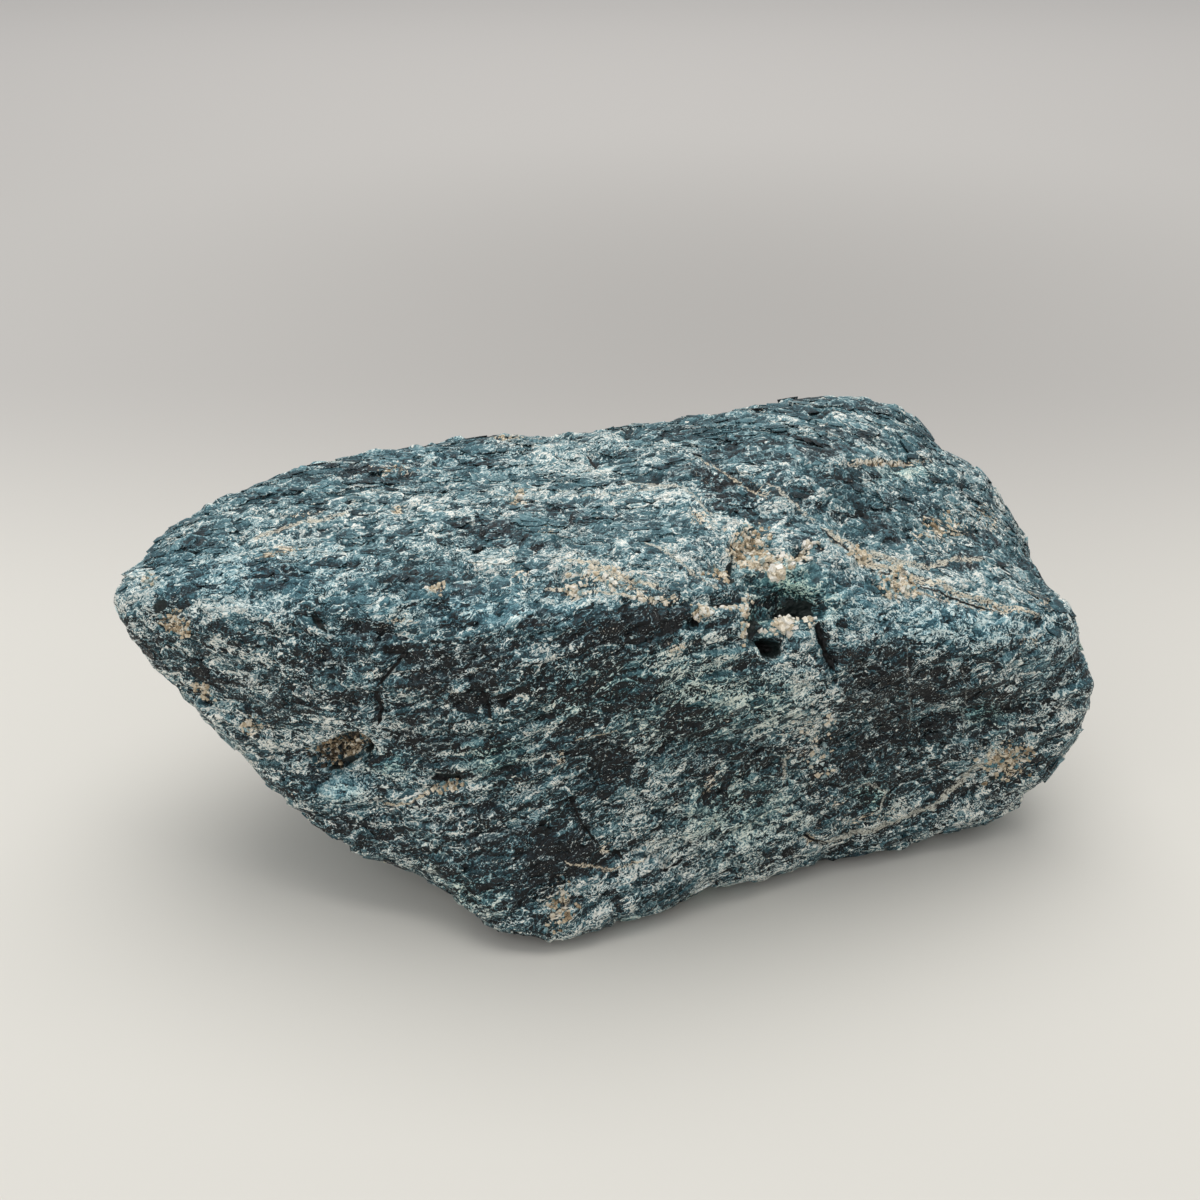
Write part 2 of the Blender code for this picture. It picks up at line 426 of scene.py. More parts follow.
def broken_height(base):
    """How far the broken faces stand out of the smooth skin, in metres, less so at the two
    ends, and the chips' own random numbers, which the finish reads too."""
    bend = np.stack([smooth_noise(base / (BEND_WIDE * MM), seed) for seed in (5, 6, 7)], axis=1)
    bent = base + bend * BEND_PUSH * MM
    swell = fractal(base / (SWELL_WIDE * MM), 11, octaves=3) * SWELL_HIGH * MM
    layer = in_flakes(bent, 1, LAYER_WIDE, LAYER_THICK)[:, 1:].sum(axis=1)
    layer = layer + LAYER_BEND * smooth_noise(base / (LAYER_BEND_WIDE * MM), 21)
    rise = layer - np.floor(layer)
    ledge = eased(rise, 0.0, 0.8) - eased(rise, 0.8, 1.0) - 0.5
    ledge *= eased(smooth_noise(base / (LEDGE_PATCH_WIDE * MM), 31), -0.5, 0.5) * LEDGE_HIGH * MM
    big, big_own = chips(in_flakes(bent, *BIG_CHIP), 41)
    small, small_own = chips(in_flakes(bent, *SMALL_CHIP), 51)
    lean_big = (big * (big_own * 2 - 1)).sum(axis=1) * BIG_LEAN * MM
    lean_small = (small * (small_own * 2 - 1)).sum(axis=1) * SMALL_LEAN * MM
    step_big = (big_own[:, 0] - 0.5) * BIG_STEP * MM
    step_small = (small_own[:, 1] - 0.5) * SMALL_STEP * MM
    grain = fractal(in_flakes(base, *GRAIN), 61, octaves=2) * GRAIN_HIGH * MM
    height = swell + ledge + lean_big + lean_small + step_big + step_small + grain
    calm = 1 - END_CALM * np.abs(NORMALS[:, 0])
    return height * calm + back_facets(bent), big_own, small_own


HEIGHT, BIG_OWN, SMALL_OWN = broken_height(BASE)
print("broken faces from", (HEIGHT.min() / MM).round(2), "to", (HEIGHT.max() / MM).round(2), "mm")

# %% [markdown]
# ## The marks that make it this stone
#
# Random breaks make a stone, and the marks make it the one in the photograph: the hollow where
# crystals fell out, the pits, the cracks and the cream lines. A mark is an oval or a line, named
# by the pixels of the photograph that it covers. The pixel of each point of the skin is worked
# out, as the eye sees it. A mark counts only where the skin faces the eye, and what it does is
# stored in the mesh, so it keeps its place when the stone is turned. A painted picture would be
# quicker, but it couldn't be carved into the stone.

# %% Ovals and lines in pixels
PIXEL_X, PIXEL_Y, PIXEL_AHEAD = seen_at(BASE, EYE)
MM_PER_PIXEL = float(np.median(PIXEL_AHEAD)) / FOCAL_PIXELS / MM
TO_EYE = (EYE - BASE) / np.linalg.norm(EYE - BASE, axis=1)[:, None]
FACING = eased((NORMALS * TO_EYE).sum(axis=1), 0.02, 0.16)


def oval(pixel_x, pixel_y, half_wide, half_high, turn=0.0, hardness=1.0):
    """1 at the middle of an oval and 0 well outside: e to the minus of the squared distance in
    half sizes, raised to the hardness. The turn is clockwise, in degrees."""
    angle = math.radians(turn)
    right, down = PIXEL_X - pixel_x, PIXEL_Y - pixel_y
    along = (right * math.cos(angle) + down * math.sin(angle)) / half_wide
    across = (down * math.cos(angle) - right * math.sin(angle)) / half_high
    return np.exp(-((along**2 + across**2) ** hardness)) * FACING


def line_offset(pixels):
    """Signed distance to a line through pixels, in millimetres, and the share of the line's
    length at the nearest spot. The sign says on which side a place is."""
    points = np.array(pixels, dtype=float)
    here = np.stack([PIXEL_X, PIXEL_Y], axis=1)
    runs = np.diff(points, axis=0)
    lengths = np.linalg.norm(runs, axis=1)
    before = np.concatenate([[0.0], np.cumsum(lengths)])
    best = np.full(len(here), 1e9)
    offset = np.full(len(here), 1e9)
    share = np.zeros(len(here))
    for start, run, length, done in zip(points[:-1], runs / lengths[:, None], lengths, before):
        gap = here - start
        along = np.clip(gap @ run, 0.0, length)
        distance = np.linalg.norm(gap - along[:, None] * run, axis=1)
        side = np.sign(gap[:, 0] * run[1] - gap[:, 1] * run[0])
        closer = distance < best
        best = np.where(closer, distance, best)
        offset = np.where(closer, distance * np.where(side == 0, 1, side), offset)
        share = np.where(closer, (done + along) / before[-1], share)
    return offset * MM_PER_PIXEL, share


print("one pixel is", round(MM_PER_PIXEL, 3), "mm on the stone")

# %% Cracks and veins
# Each crack: its pixels, its half width and its depth in millimetres.
CRACKS = (
    (((383, 653), (402, 652), (396, 664), (377, 686)), 0.55, 1.7),
    (((373, 691), (379, 712), (378, 726)), 0.62, 1.8),
    (((481, 686), (483, 702), (491, 718)), 0.52, 1.5),
    (((566, 791), (574, 808), (582, 825), (601, 848)), 0.36, 1.0),
    (((614, 850), (625, 861)), 0.45, 1.0),
    (((818, 621), (823, 638), (829, 656), (836, 673)), 0.72, 2.4),
    (((587, 455), (594, 461), (598, 468)), 0.45, 1.0),
    (((356, 622), (350, 634)), 0.40, 0.9),
    (((710, 786), (704, 805)), 0.40, 0.9),
    (((802, 834), (812, 840), (826, 842)), 0.42, 1.0),
    (((662, 873), (672, 870), (686, 861)), 0.45, 1.0),
    (((430, 779), (446, 784), (462, 780)), 0.60, 1.6),
    (((694, 616), (699, 627)), 0.55, 1.2),
    (((404, 742), (424, 743)), 0.40, 0.8),
    (((819, 531), (850, 551), (879, 567), (912, 580), (957, 597), (1000, 613)), 0.26, 0.9),
)
# Each vein: its pixels, its half width in millimetres and how warm it is, from 0 to 1.
VEINS = (
    (((694, 453), (716, 469), (737, 482), (768, 501)), 0.42, 0.8),
    (((620, 480), (676, 487), (700, 505), (716, 520)), 0.40, 0.3),
    (((815, 526), (849, 546), (878, 562), (911, 574), (957, 591), (1003, 608), (1045, 619)), 0.50, 0.7),
    (((822, 536), (844, 552), (870, 568), (903, 584), (948, 602)), 0.26, 0.6),
    (((868, 543), (900, 557), (930, 561), (958, 558), (988, 560)), 0.55, 0.5),
    (((560, 500), (620, 492), (676, 487), (700, 500)), 0.22, 0.2),
    (((574, 739), (596, 733), (619, 725)), 0.34, 0.9),
    (((788, 749), (784, 766), (785, 781)), 0.34, 0.3),
    (((908, 642), (911, 690), (909, 733)), 0.13, 0.0),
    (((962, 664), (966, 700), (963, 744)), 0.13, 0.0),
    (((812, 845), (870, 832), (932, 808), (970, 772), (1000, 742)), 0.70, 0.3),
    (((851, 790), (868, 783), (886, 792), (880, 812), (862, 818)), 0.28, 0.2),
    (((560, 560), (610, 575), (667, 590)), 0.55, 0.7),
    (((540, 590), (600, 592), (650, 600)), 0.40, 0.6),
    (((380, 806), (412, 801), (440, 785)), 0.34, 0.9),
    (((640, 540), (672, 556), (700, 580), (722, 590)), 0.40, 0.4),
    (((250, 540), (300, 528), (352, 512)), 0.45, 0.5),
    (((765, 480), (800, 512), (819, 525)), 0.30, 0.4),
    (((560, 862), (610, 872), (650, 858)), 0.30, 0.8),
)
VEIN_WOBBLE = 1.6
CRACK_WOBBLE = 0.7
LINE_REACH = 6.0
ENDS = 0.08
STEP_ENDS = 0.12
GROOVE_REACH = 2.2


def line_marks(lines):
    """For each place: the offset from the nearest line, and that line's half width and its last
    number, which fade out at the line's two ends and away from it."""
    offset = np.full(len(BASE), LINE_REACH)
    half_width = np.zeros(len(BASE))
    last = np.zeros(len(BASE))
    for pixels, wide, value in lines:
        found, share = line_offset(pixels)
        closer = np.abs(found) < np.abs(offset)
        inside = eased(share, -0.01, ENDS) * eased(1 - share, -0.01, ENDS) * FACING
        near = eased(-np.abs(found), -LINE_REACH, -LINE_REACH / 2)
        offset = np.where(closer, found, offset)
        half_width = np.where(closer, wide * inside * near, half_width)
        last = np.where(closer, value * inside, last)
    return offset, half_width, last


CRACK_OFFSET, CRACK_HALF, CRACK_DEPTH = line_marks(CRACKS)
VEIN_OFFSET, VEIN_HALF, VEIN_WARMTH = line_marks(VEINS)
print("crack points", int((np.abs(CRACK_OFFSET) < CRACK_HALF).sum()),
      "vein points", int((np.abs(VEIN_OFFSET) < VEIN_HALF).sum()))

# %% Hollows, pits and lumps
# Each: pixel x, pixel y, half width and half height in pixels, turn, hardness, and how deep it
# goes in millimetres. A lump has a minus.
CARVED = (
    (798, 604, 29, 14, 10, 2.4, 4.6),
    (786, 611, 15, 8, 0, 2.0, 2.6),
    (760, 622, 12, 27, 4, 2.4, 3.0),
    (773, 649, 11, 11, 0, 3.0, 6.0),
    (756, 550, 21, 21, -20, 1.6, 2.4),
    (733, 572, 5, 12, 10, 2.0, 1.8),
    (716, 566, 19, 13, 15, 1.4, 1.2),
    (798, 556, 8, 6, 0, 1.8, 2.4),
    (815, 566, 42, 30, 20, 1.2, -2.2),
    (725, 602, 17, 6, -4, 1.8, 2.4),
    (695, 624, 4, 7, 15, 1.8, 1.8),
    (317, 624, 13, 5, 52, 1.8, 1.8),
    (343, 752, 25, 15, -22, 2.4, 3.4),
    (365, 748, 6, 7, 20, 2.0, 2.6),
    (170, 612, 17, 20, 30, 1.5, 1.8),
    (437, 870, 5, 5, 0, 1.6, 1.4),
    (345, 787, 24, 15, 0, 2.0, -1.2),
    (602, 760, 26, 20, 0, 1.6, 1.0),
    (952, 526, 34, 14, -8, 1.4, 0.9),
)
# Each step: its pixels, how far the stone drops beyond it in millimetres, and how far away it
# has risen again.
STEPS = (
    (((694, 453), (716, 469), (737, 482), (768, 501)), 1.3, 9.0),
    (((817, 523), (851, 543), (880, 559), (913, 571), (959, 588), (1005, 605), (1047, 616)),
     2.0, 12.0),
    (((826, 465), (851, 467), (899, 462), (936, 459)), -1.0, 5.0),
    (((574, 739), (596, 733), (625, 725)), -0.9, 4.0),
)


def stepped_down():
    """How far the stone drops beyond its steps: all at once at the line, and less and less away
    from it, by e to the minus of the squared distance."""
    depth = np.zeros(len(BASE))
    for pixels, drop, reach in STEPS:
        offset, share = line_offset(pixels)
        ends = eased(share, 0.0, STEP_ENDS) * eased(1 - share, 0.0, STEP_ENDS) * FACING
        depth += drop * eased(offset, -0.2, 0.7) * np.exp(-((offset / reach) ** 2)) * ends
    return depth


def carved_depth():
    """How deep the hollows and pits go at each place, less how far the lumps stand out."""
    depth = np.zeros(len(BASE))
    for pixel_x, pixel_y, half_wide, half_high, turn, hardness, drop in CARVED:
        depth += drop * oval(pixel_x, pixel_y, half_wide, half_high, turn, hardness)
    groove = eased(-np.abs(CRACK_OFFSET), -GROOVE_REACH, -0.1) * eased(CRACK_HALF, 0.0, 0.3)
    return (depth + stepped_down() + groove * CRACK_DEPTH) * MM


CARVING = carved_depth()
print("carved to", (CARVING.max() / MM).round(2), "mm")

# %% Shape the stone
# Between these heights, in metres, the broken faces grow out of the flat spot.
FLOOR_RIM = (0.0002, 0.004)
SPREAD_ROUNDS = 3


def on_the_floor(places, smooth):
    """The flat spot and its rim stay on the floor: nothing goes below it."""
    rest = eased(smooth[:, 2], *FLOOR_RIM)[:, None]
    kept = smooth + (places - smooth) * rest
    kept[:, 2] = np.maximum(kept[:, 2], 0.0)
    return kept


PLACES = on_the_floor(BASE + NORMALS * (HEIGHT - CARVING)[:, None], BASE)
spread = PLACES
for _ in range(SPREAD_ROUNDS):
    spread = neighbour_mean(spread, QUADS)
FINE_NORMALS = outward(PLACES, QUADS)
STANDS_OUT = ((PLACES - spread) * FINE_NORMALS).sum(axis=1) / MM
print("stands out from", STANDS_OUT.min().round(2), "to", STANDS_OUT.max().round(2), "mm")

stone_mesh = bpy.data.meshes.new("apatite_skin")
stone_mesh.from_pydata(PLACES, [], QUADS)
stone_mesh.update()
stone_mesh.shade_smooth()
stone = new_object("apatite_skin", stone_mesh)
print("stone has", len(stone_mesh.polygons) * 2, "triangles")

# %% [markdown]
# ## What the finish needs to know
#
# A finish that is only noise looks printed on. So the mesh hands its own facts to the finish, as
# values at its points: which chip a point is on and how near to its rim, what stands out and
# what lies deep, and the marks. The finish blends these with much finer noise.

# %% Dark, pale and tan places
# Each: pixel x, pixel y, half width, half height, turn, and how strong it is.
DARK_PLACES = (
    (650, 622, 52, 20, 4, 1.0), (450, 655, 200, 20, 4, 0.45), (602, 760, 26, 20, -6, 1.3),
    (555, 860, 44, 28, 0, 1.0), (885, 690, 58, 30, -4, 0.85), (990, 700, 44, 26, 0, 0.4),
    (880, 750, 90, 34, -14, 0.6), (470, 700, 60, 22, 8, 0.5), (546, 512, 40, 10, 10, 0.8),
    (716, 484, 34, 15, 24, 1.1), (384, 470, 40, 12, 6, 0.5), (430, 578, 40, 11, 6, 0.6),
    (500, 535, 40, 12, 10, 0.8), (282, 572, 30, 12, -4, 0.5), (815, 446, 30, 10, 4, 1.0),
    (735, 448, 16, 9, 0, 0.8), (1040, 700, 26, 40, 10, 0.15), (755, 772, 40, 26, -10, 0.5),
    (560, 690, 60, 26, 5, 0.5), (406, 572, 34, 9, 6, 0.5), (845, 478, 30, 9, 4, 0.7),
    (490, 462, 24, 8, 0, 0.6), (199, 668, 12, 18, -30, 0.8), (960, 560, 26, 9, 8, 0.5),
    (484, 832, 64, 26, -10, 0.5), (510, 898, 50, 14, -10, 0.4),
    (700, 655, 30, 12, -16, 0.5), (350, 700, 30, 12, -16, 0.5), (1000, 470, 14, 20, 20, 0.5),
    (640, 700, 26, 10, -16, 0.6), (690, 730, 40, 12, -16, 0.5), (440, 745, 36, 10, -10, 0.5),
    (930, 440, 20, 10, 0, 0.7), (600, 640, 46, 12, 0, 0.6), (545, 615, 20, 8, 0, 0.7),
)
PALE_PLACES = (
    (620, 566, 74, 22, 4, 0.9), (300, 540, 90, 26, -12, 0.45), (470, 505, 90, 20, -4, 0.4),
    (580, 466, 80, 20, 4, 0.7), (940, 572, 70, 14, 12, 0.6), (690, 505, 40, 16, 20, 0.9),
    (720, 525, 20, 16, 0, 0.9), (330, 740, 50, 30, 20, 0.35), (150, 590, 30, 18, -30, 0.4),
    (905, 476, 36, 9, -4, 0.7), (545, 655, 26, 14, 10, 0.7), (803, 715, 26, 42, 10, 0.9),
    (710, 640, 34, 16, 0, 0.6), (1010, 672, 46, 24, 0, 0.4), (400, 800, 50, 12, 6, 0.25),
    (735, 835, 40, 34, -20, 0.45), (960, 628, 100, 18, 4, 0.6), (250, 660, 50, 24, 4, 0.5),
    (580, 602, 40, 8, 4, 0.6), (430, 545, 60, 10, 8, 0.5), (480, 900, 40, 18, 20, 0.2),
    (660, 665, 34, 14, -10, 0.5), (960, 590, 50, 12, 20, 0.5), (1000, 760, 44, 18, -30, 0.5),
    (375, 745, 16, 12, 30, 0.9), (400, 640, 40, 8, 4, 0.35), (860, 560, 40, 10, 20, 0.6),
    (250, 610, 60, 14, -6, 0.5), (620, 880, 60, 10, -12, 0.4), (640, 735, 40, 14, -16, 0.4),
    (770, 505, 40, 12, 10, 0.4),
)
TAN_PLACES = (
    (749, 548, 17, 20, 20, 1.5), (763, 562, 19, 11, 10, 1.3), (748, 616, 3, 26, 0, 1.2),
    (340, 752, 26, 15, -20, 1.3), (174, 624, 15, 9, 26, 1.2), (148, 579, 7, 8, 0, 0.9),
    (946, 528, 36, 15, -10, 0.8), (900, 581, 24, 13, 20, 1.2), (1006, 760, 26, 18, -20, 1.0),
    (203, 692, 12, 6, 36, 1.0), (253, 724, 10, 9, 0, 1.2), (446, 787, 14, 5, -10, 1.0),
    (701, 613, 10, 7, 20, 1.6), (612, 580, 50, 12, 4, 0.75),
    (573, 592, 14, 10, 20, 1.0), (559, 905, 14, 24, 20, 1.0), (812, 840, 14, 7, 10, 0.9),
    (436, 592, 8, 6, 0, 1.2), (516, 500, 7, 7, 0, 1.1), (546, 530, 9, 5, 10, 1.1),
    (505, 438, 18, 5, 0, 0.9), (395, 468, 26, 5, -6, 0.8), (860, 553, 12, 8, 20, 1.0),
    (790, 560, 20, 5, -10, 1.0), (655, 600, 34, 6, 4, 0.8), (1000, 610, 30, 6, 14, 0.8),
    (710, 785, 5, 20, 20, 0.8), (606, 848, 8, 8, 0, 0.9), (800, 735, 22, 30, 10, 0.45),
    (676, 650, 12, 8, 0, 0.8), (560, 760, 6, 8, 30, 0.9), (398, 512, 10, 5, 0, 0.9),
    (1030, 640, 14, 10, 0, 0.6), (870, 820, 50, 8, -16, 0.6), (700, 520, 16, 10, 20, 0.9),
    (885, 464, 52, 3, -3, 1.2),
    (300, 515, 30, 6, -10, 0.6), (400, 620, 20, 8, 0, 0.6), (520, 575, 20, 8, 20, 0.7),
    (283, 553, 24, 6, -14, 0.8), (830, 800, 12, 8, 0, 0.7), (655, 840, 16, 8, -20, 0.5),
    (960, 600, 36, 6, 20, 0.8), (1040, 600, 14, 6, 30, 0.8), (985, 515, 10, 18, -20, 0.8),
)
BLUE_PLACES = (
    (950, 625, 110, 26, 4, 1.0), (250, 580, 110, 30, 0, 0.8), (480, 610, 130, 20, 0, 0.8),
    (1060, 660, 30, 34, 20, 0.7), (860, 600, 30, 24, 30, 0.7), (430, 460, 60, 16, 0, 0.4),
    (345, 787, 23, 13, 0, 1.4), (390, 765, 20, 10, 0, 0.9),
)
GREEN_PLACES = (
    (390, 765, 20, 12, 0, 0.4), (494, 758, 30, 20, 0, 0.6), (903, 473, 30, 8, -6, 0.45),
    (869, 797, 20, 14, 10, 0.8), (985, 713, 21, 12, 0, 0.8), (690, 700, 80, 50, 0, 0.4),
    (790, 590, 40, 20, 24, 0.9), (760, 620, 12, 24, 0, 0.9), (760, 700, 40, 30, 0, 0.4),
    (470, 890, 40, 24, 20, 0.4), (735, 810, 60, 40, 0, 0.4), (600, 690, 60, 24, -14, 0.5),
)
# Painted shade where holes, pits and the hollow lie: their dark insides stand in for the shadow in them.
HOLE_SHADE_PLACES = (
    (787, 614, 17, 5, 4, 1.3), (773, 649, 12, 12, 0, 1.6), (724, 602, 15, 4, -4, 1.2),
    (733, 550, 3, 8, 0, 1.2), (733, 577, 4, 7, 0, 1.2), (799, 604, 29, 14, 12, 1.0),
    (760, 620, 10, 24, 3, 0.75),
    (316, 622, 13, 3, 52, 1.4), (365, 749, 5, 9, 20, 1.5), (340, 765, 20, 4, -22, 1.2),
    (157, 606, 8, 11, 30, 1.1), (695, 624, 3, 6, 10, 1.2), (800, 556, 8, 5, 0, 1.0),
    (732, 568, 5, 12, 0, 1.1), (786, 836, 10, 3, 10, 0.9), (602, 764, 20, 10, -6, 0.6),
    (714, 566, 18, 8, 20, 0.6), (994, 777, 10, 5, -20, 0.8), (447, 778, 18, 4, -4, 1.1),
    (756, 640, 8, 6, 0, 0.8), (437, 871, 5, 4, 0, 1.0), (734, 545, 4, 8, 20, 0.9),
)


def places_value(places):
    """The strongest of the ovals at each place."""
    value = np.zeros(len(BASE))
    for pixel_x, pixel_y, half_wide, half_high, turn, strength in places:
        value = np.maximum(value, strength * oval(pixel_x, pixel_y, half_wide, half_high, turn))
    return value


def on_the_far_side(places, seed, long_mm, start):
    """Clouds that take a mark's part where the photograph doesn't reach: 0 where it does."""
    cloud = fractal(in_flakes(places, long_mm, long_mm * 0.7, long_mm * 0.4), seed, octaves=3)
    return (1 - FACING) * eased(cloud, start, start + 0.5)


DARK = np.maximum(places_value(DARK_PLACES), on_the_far_side(BASE, 71, 26, 0.25))
PALE = np.maximum(places_value(PALE_PLACES), on_the_far_side(BASE, 72, 24, 0.35) * 0.8)
TAN = np.maximum(places_value(TAN_PLACES), on_the_far_side(BASE, 73, 12, 0.65) * 1.3)
BLUE = np.maximum(places_value(BLUE_PLACES), on_the_far_side(BASE, 74, 40, 0.2))
GREEN = np.maximum(places_value(GREEN_PLACES), on_the_far_side(BASE, 75, 20, 0.4))
# On the far side, painted hole shade falls in small random spots.
HOLE_SHADE = np.maximum(places_value(HOLE_SHADE_PLACES), on_the_far_side(BASE, 76, 8, 0.95) * 1.2)
print("mean dark, pale and tan:", DARK.mean().round(3), PALE.mean().round(3), TAN.mean().round(3))

# %% Store the values in the mesh
def store(mesh, name, first, second, third):
    """Three values for each point, which the finish reads as x, y and z."""
    values = mesh.attributes.new(name, "FLOAT_VECTOR", "POINT")
    packed = np.stack([first, second, third], axis=1).astype(np.float32)
    values.data.foreach_set("vector", packed.ravel())


unused = np.zeros(len(BASE))
store(stone_mesh, "chip", BIG_OWN[:, 2], SMALL_OWN[:, 2], unused)
store(stone_mesh, "relief", STANDS_OUT, unused, unused)
store(stone_mesh, "stain", DARK, PALE, TAN)
store(stone_mesh, "tint_and_hole_shade", BLUE, GREEN, HOLE_SHADE)
store(stone_mesh, "stream", *(along_stream(PLACES) / MM).T)
store(stone_mesh, "crack", CRACK_OFFSET, CRACK_HALF, unused)
store(stone_mesh, "vein", VEIN_OFFSET, VEIN_HALF, VEIN_WARMTH)
print("stored", [a.name for a in stone_mesh.attributes if a.data_type == "FLOAT_VECTOR"])

# %% [markdown]
# ## Loose-edged flakes
#
# Up close the stone is a mosaic of leaf-shaped crystals, each broken off at its own height and
# tilt. The skin's grid is too coarse for their sharp edges. So thousands of small plates lie
# along the stream, half sunk into the skin. All of them are worked out at once as arrays and
# joined in one mesh. Each is one crystal, so each has one set of random numbers for its finish.

# %% Flakes along the stream
FLAKE_COUNT = 7600
FLAKE_CORNERS = np.radians([0, 52, 122, 180, 236, 304])
# A flake's points are a ring, the middle, and the ring's feet.
RING = len(FLAKE_CORNERS)
FEET = RING + 1
FLAKE_POINTS_EACH = FEET + RING
FLAKE_TRIANGLES_EACH = 22
FLAKE_LENGTHS = (3.0 * MM, 9.5 * MM)
FLAKE_SLIMNESS = (0.34, 0.60)
FLAKE_SUNK = 0.55 * MM
FLAKE_RISE = (0.02 * MM, 0.18 * MM)
FLAKE_TILT_ACROSS, FLAKE_TILT_ALONG = 0.11, 0.05
FLAKE_TURN = (-0.3, 0.3)
FLAKE_REACH = (0.72, 1.12)
FLAKE_CROWN = 0.06 * MM
FLAKE_FOOT_SHARE = 0.9
FLAKE_LOWEST = 0.2 * MM


def skin_area():
    """The skin's area round each point: half the length of the cross product of its square's
    diagonals."""
    sides = PLACES[QUADS]
    area = np.linalg.norm(np.cross(sides[:, 2] - sides[:, 0], sides[:, 3] - sides[:, 1]), axis=1) / 2
    return np.bincount(QUADS[:, 0], area, len(PLACES))


def flake_spots(chance):
    """Skin points for the flakes, picked with a chance that grows with the skin's area there,
    away from the floor, the cracks and the hollows, and where the skin is nearly flat: there
    the mean of the normals around a point is nearly one long."""
    weight = skin_area() * (PLACES[:, 2] > 2.5 * MM) * (HOLE_SHADE < 0.25) * (TAN < 0.8)
    weight *= (np.abs(VEIN_OFFSET) > VEIN_HALF + 2.0) | (VEIN_HALF < 0.05)
    weight *= (np.abs(CRACK_OFFSET) > CRACK_HALF * 2.2) | (CRACK_HALF < 0.05)
    mean_normal = FINE_NORMALS
    for _ in range(6):
        mean_normal = neighbour_mean(mean_normal, QUADS)
    weight *= eased(np.linalg.norm(mean_normal, axis=1), 0.955, 0.99)
    return chance.choice(len(PLACES), FLAKE_COUNT, replace=False, p=weight / weight.sum())


def between_two(chance, low_high, shape):
    """Random numbers between a low and a high."""
    return chance.uniform(low_high[0], low_high[1], shape)


def flakes(spots, chance):
    """Corners of all flakes. A flake is a ring of six corners at set angles, stretched along the
    stream and tilted, a middle that stands a little higher, and the same ring sunk below."""
    count = len(spots)
    up = unit(NORMALS[spots] * 0.5 + FINE_NORMALS[spots] * 0.5)
    along = stream_heading(PLACES[spots])
    along = unit(along - (along * up).sum(axis=1)[:, None] * up + 1e-6)
    across = np.cross(up, along)
    tilt_across = chance.normal(0, FLAKE_TILT_ACROSS, count)
    tilt_along = chance.normal(0, FLAKE_TILT_ALONG, count)
    long_half = between_two(chance, FLAKE_LENGTHS, count) * chance.uniform(0.5, 1.0, count) / 2
    wide_half = long_half * between_two(chance, FLAKE_SLIMNESS, count)
    turn = FLAKE_CORNERS + between_two(chance, FLAKE_TURN, (count, RING))
    reach = between_two(chance, FLAKE_REACH, (count, RING))
    right = np.cos(turn) * reach * long_half[:, None]
    left = np.sin(turn) * reach * wide_half[:, None]
    high = between_two(chance, FLAKE_RISE, count)[:, None]
    rise = high + right * tilt_along[:, None] + left * tilt_across[:, None]
    flat = right[..., None] * along[:, None] + left[..., None] * across[:, None]
    ring = PLACES[spots][:, None] + flat + rise[..., None] * up[:, None]
    middle = (PLACES[spots] + (high + FLAKE_CROWN) * up)[:, None]
    sunk = (rise - FLAKE_SUNK * 2)[..., None] * up[:, None]
    foot = PLACES[spots][:, None] + flat * FLAKE_FOOT_SHARE + sunk
    return np.concatenate([ring, middle, foot], axis=1)


def flake_faces(count):
    """Six triangles round the middle, six walls and two squares below, for each flake."""
    first = (np.arange(count) * FLAKE_POINTS_EACH)[:, None, None]
    ring = np.arange(RING)
    after = (ring + 1) % RING
    top = np.stack([ring, after, np.full(RING, RING)], axis=1)
    wall = np.stack([ring, ring + FEET, after + FEET, after], axis=1)
    below = np.array([[0, 3, 2, 1], [0, 5, 4, 3]]) + FEET
    squares = np.concatenate([wall, below])
    return (first + top).reshape(-1, 3).tolist() + (first + squares).reshape(-1, 4).tolist()


flake_chance = np.random.default_rng(8)
FLAKE_SPOTS = flake_spots(flake_chance)
FLAKE_POINTS = flakes(FLAKE_SPOTS, flake_chance)
FLAKE_POINTS[..., 2] = np.maximum(FLAKE_POINTS[..., 2], FLAKE_LOWEST)
flake_mesh = bpy.data.meshes.new("apatite_flakes")
flake_mesh.from_pydata(FLAKE_POINTS.reshape(-1, 3), [], flake_faces(FLAKE_COUNT))
flake_mesh.update()
flake_object = new_object("apatite_flakes", flake_mesh)
print("flakes:", FLAKE_COUNT, "with", FLAKE_COUNT * FLAKE_TRIANGLES_EACH, "triangles")

# %% What the flakes tell the finish
# Points of a flake further along this way, up and back towards the top light, are painted paler, and lower
# ones darker: painted light from above on each flake.
PAINTED_LIGHT_WAY = np.array([0.0, 0.5, 0.87])


def for_flakes(values):
    """A value of the skin at each flake's spot, repeated for all the flake's points."""
    return np.repeat(values[FLAKE_SPOTS], FLAKE_POINTS_EACH)


nothing = np.zeros(FLAKE_COUNT * FLAKE_POINTS_EACH)
flake_own = flake_chance.uniform(0, 1, (FLAKE_COUNT, 3)).repeat(FLAKE_POINTS_EACH, axis=0)
at_middle = np.tile([0.0] * RING + [1.0] + [0.0] * RING, FLAKE_COUNT)
toward_painted_light = (FLAKE_POINTS - FLAKE_POINTS[:, RING:FEET]) @ PAINTED_LIGHT_WAY / MM
store(flake_mesh, "chip", for_flakes(BIG_OWN[:, 2]), for_flakes(SMALL_OWN[:, 2]), nothing + 1)
store(flake_mesh, "own", *flake_own.T)
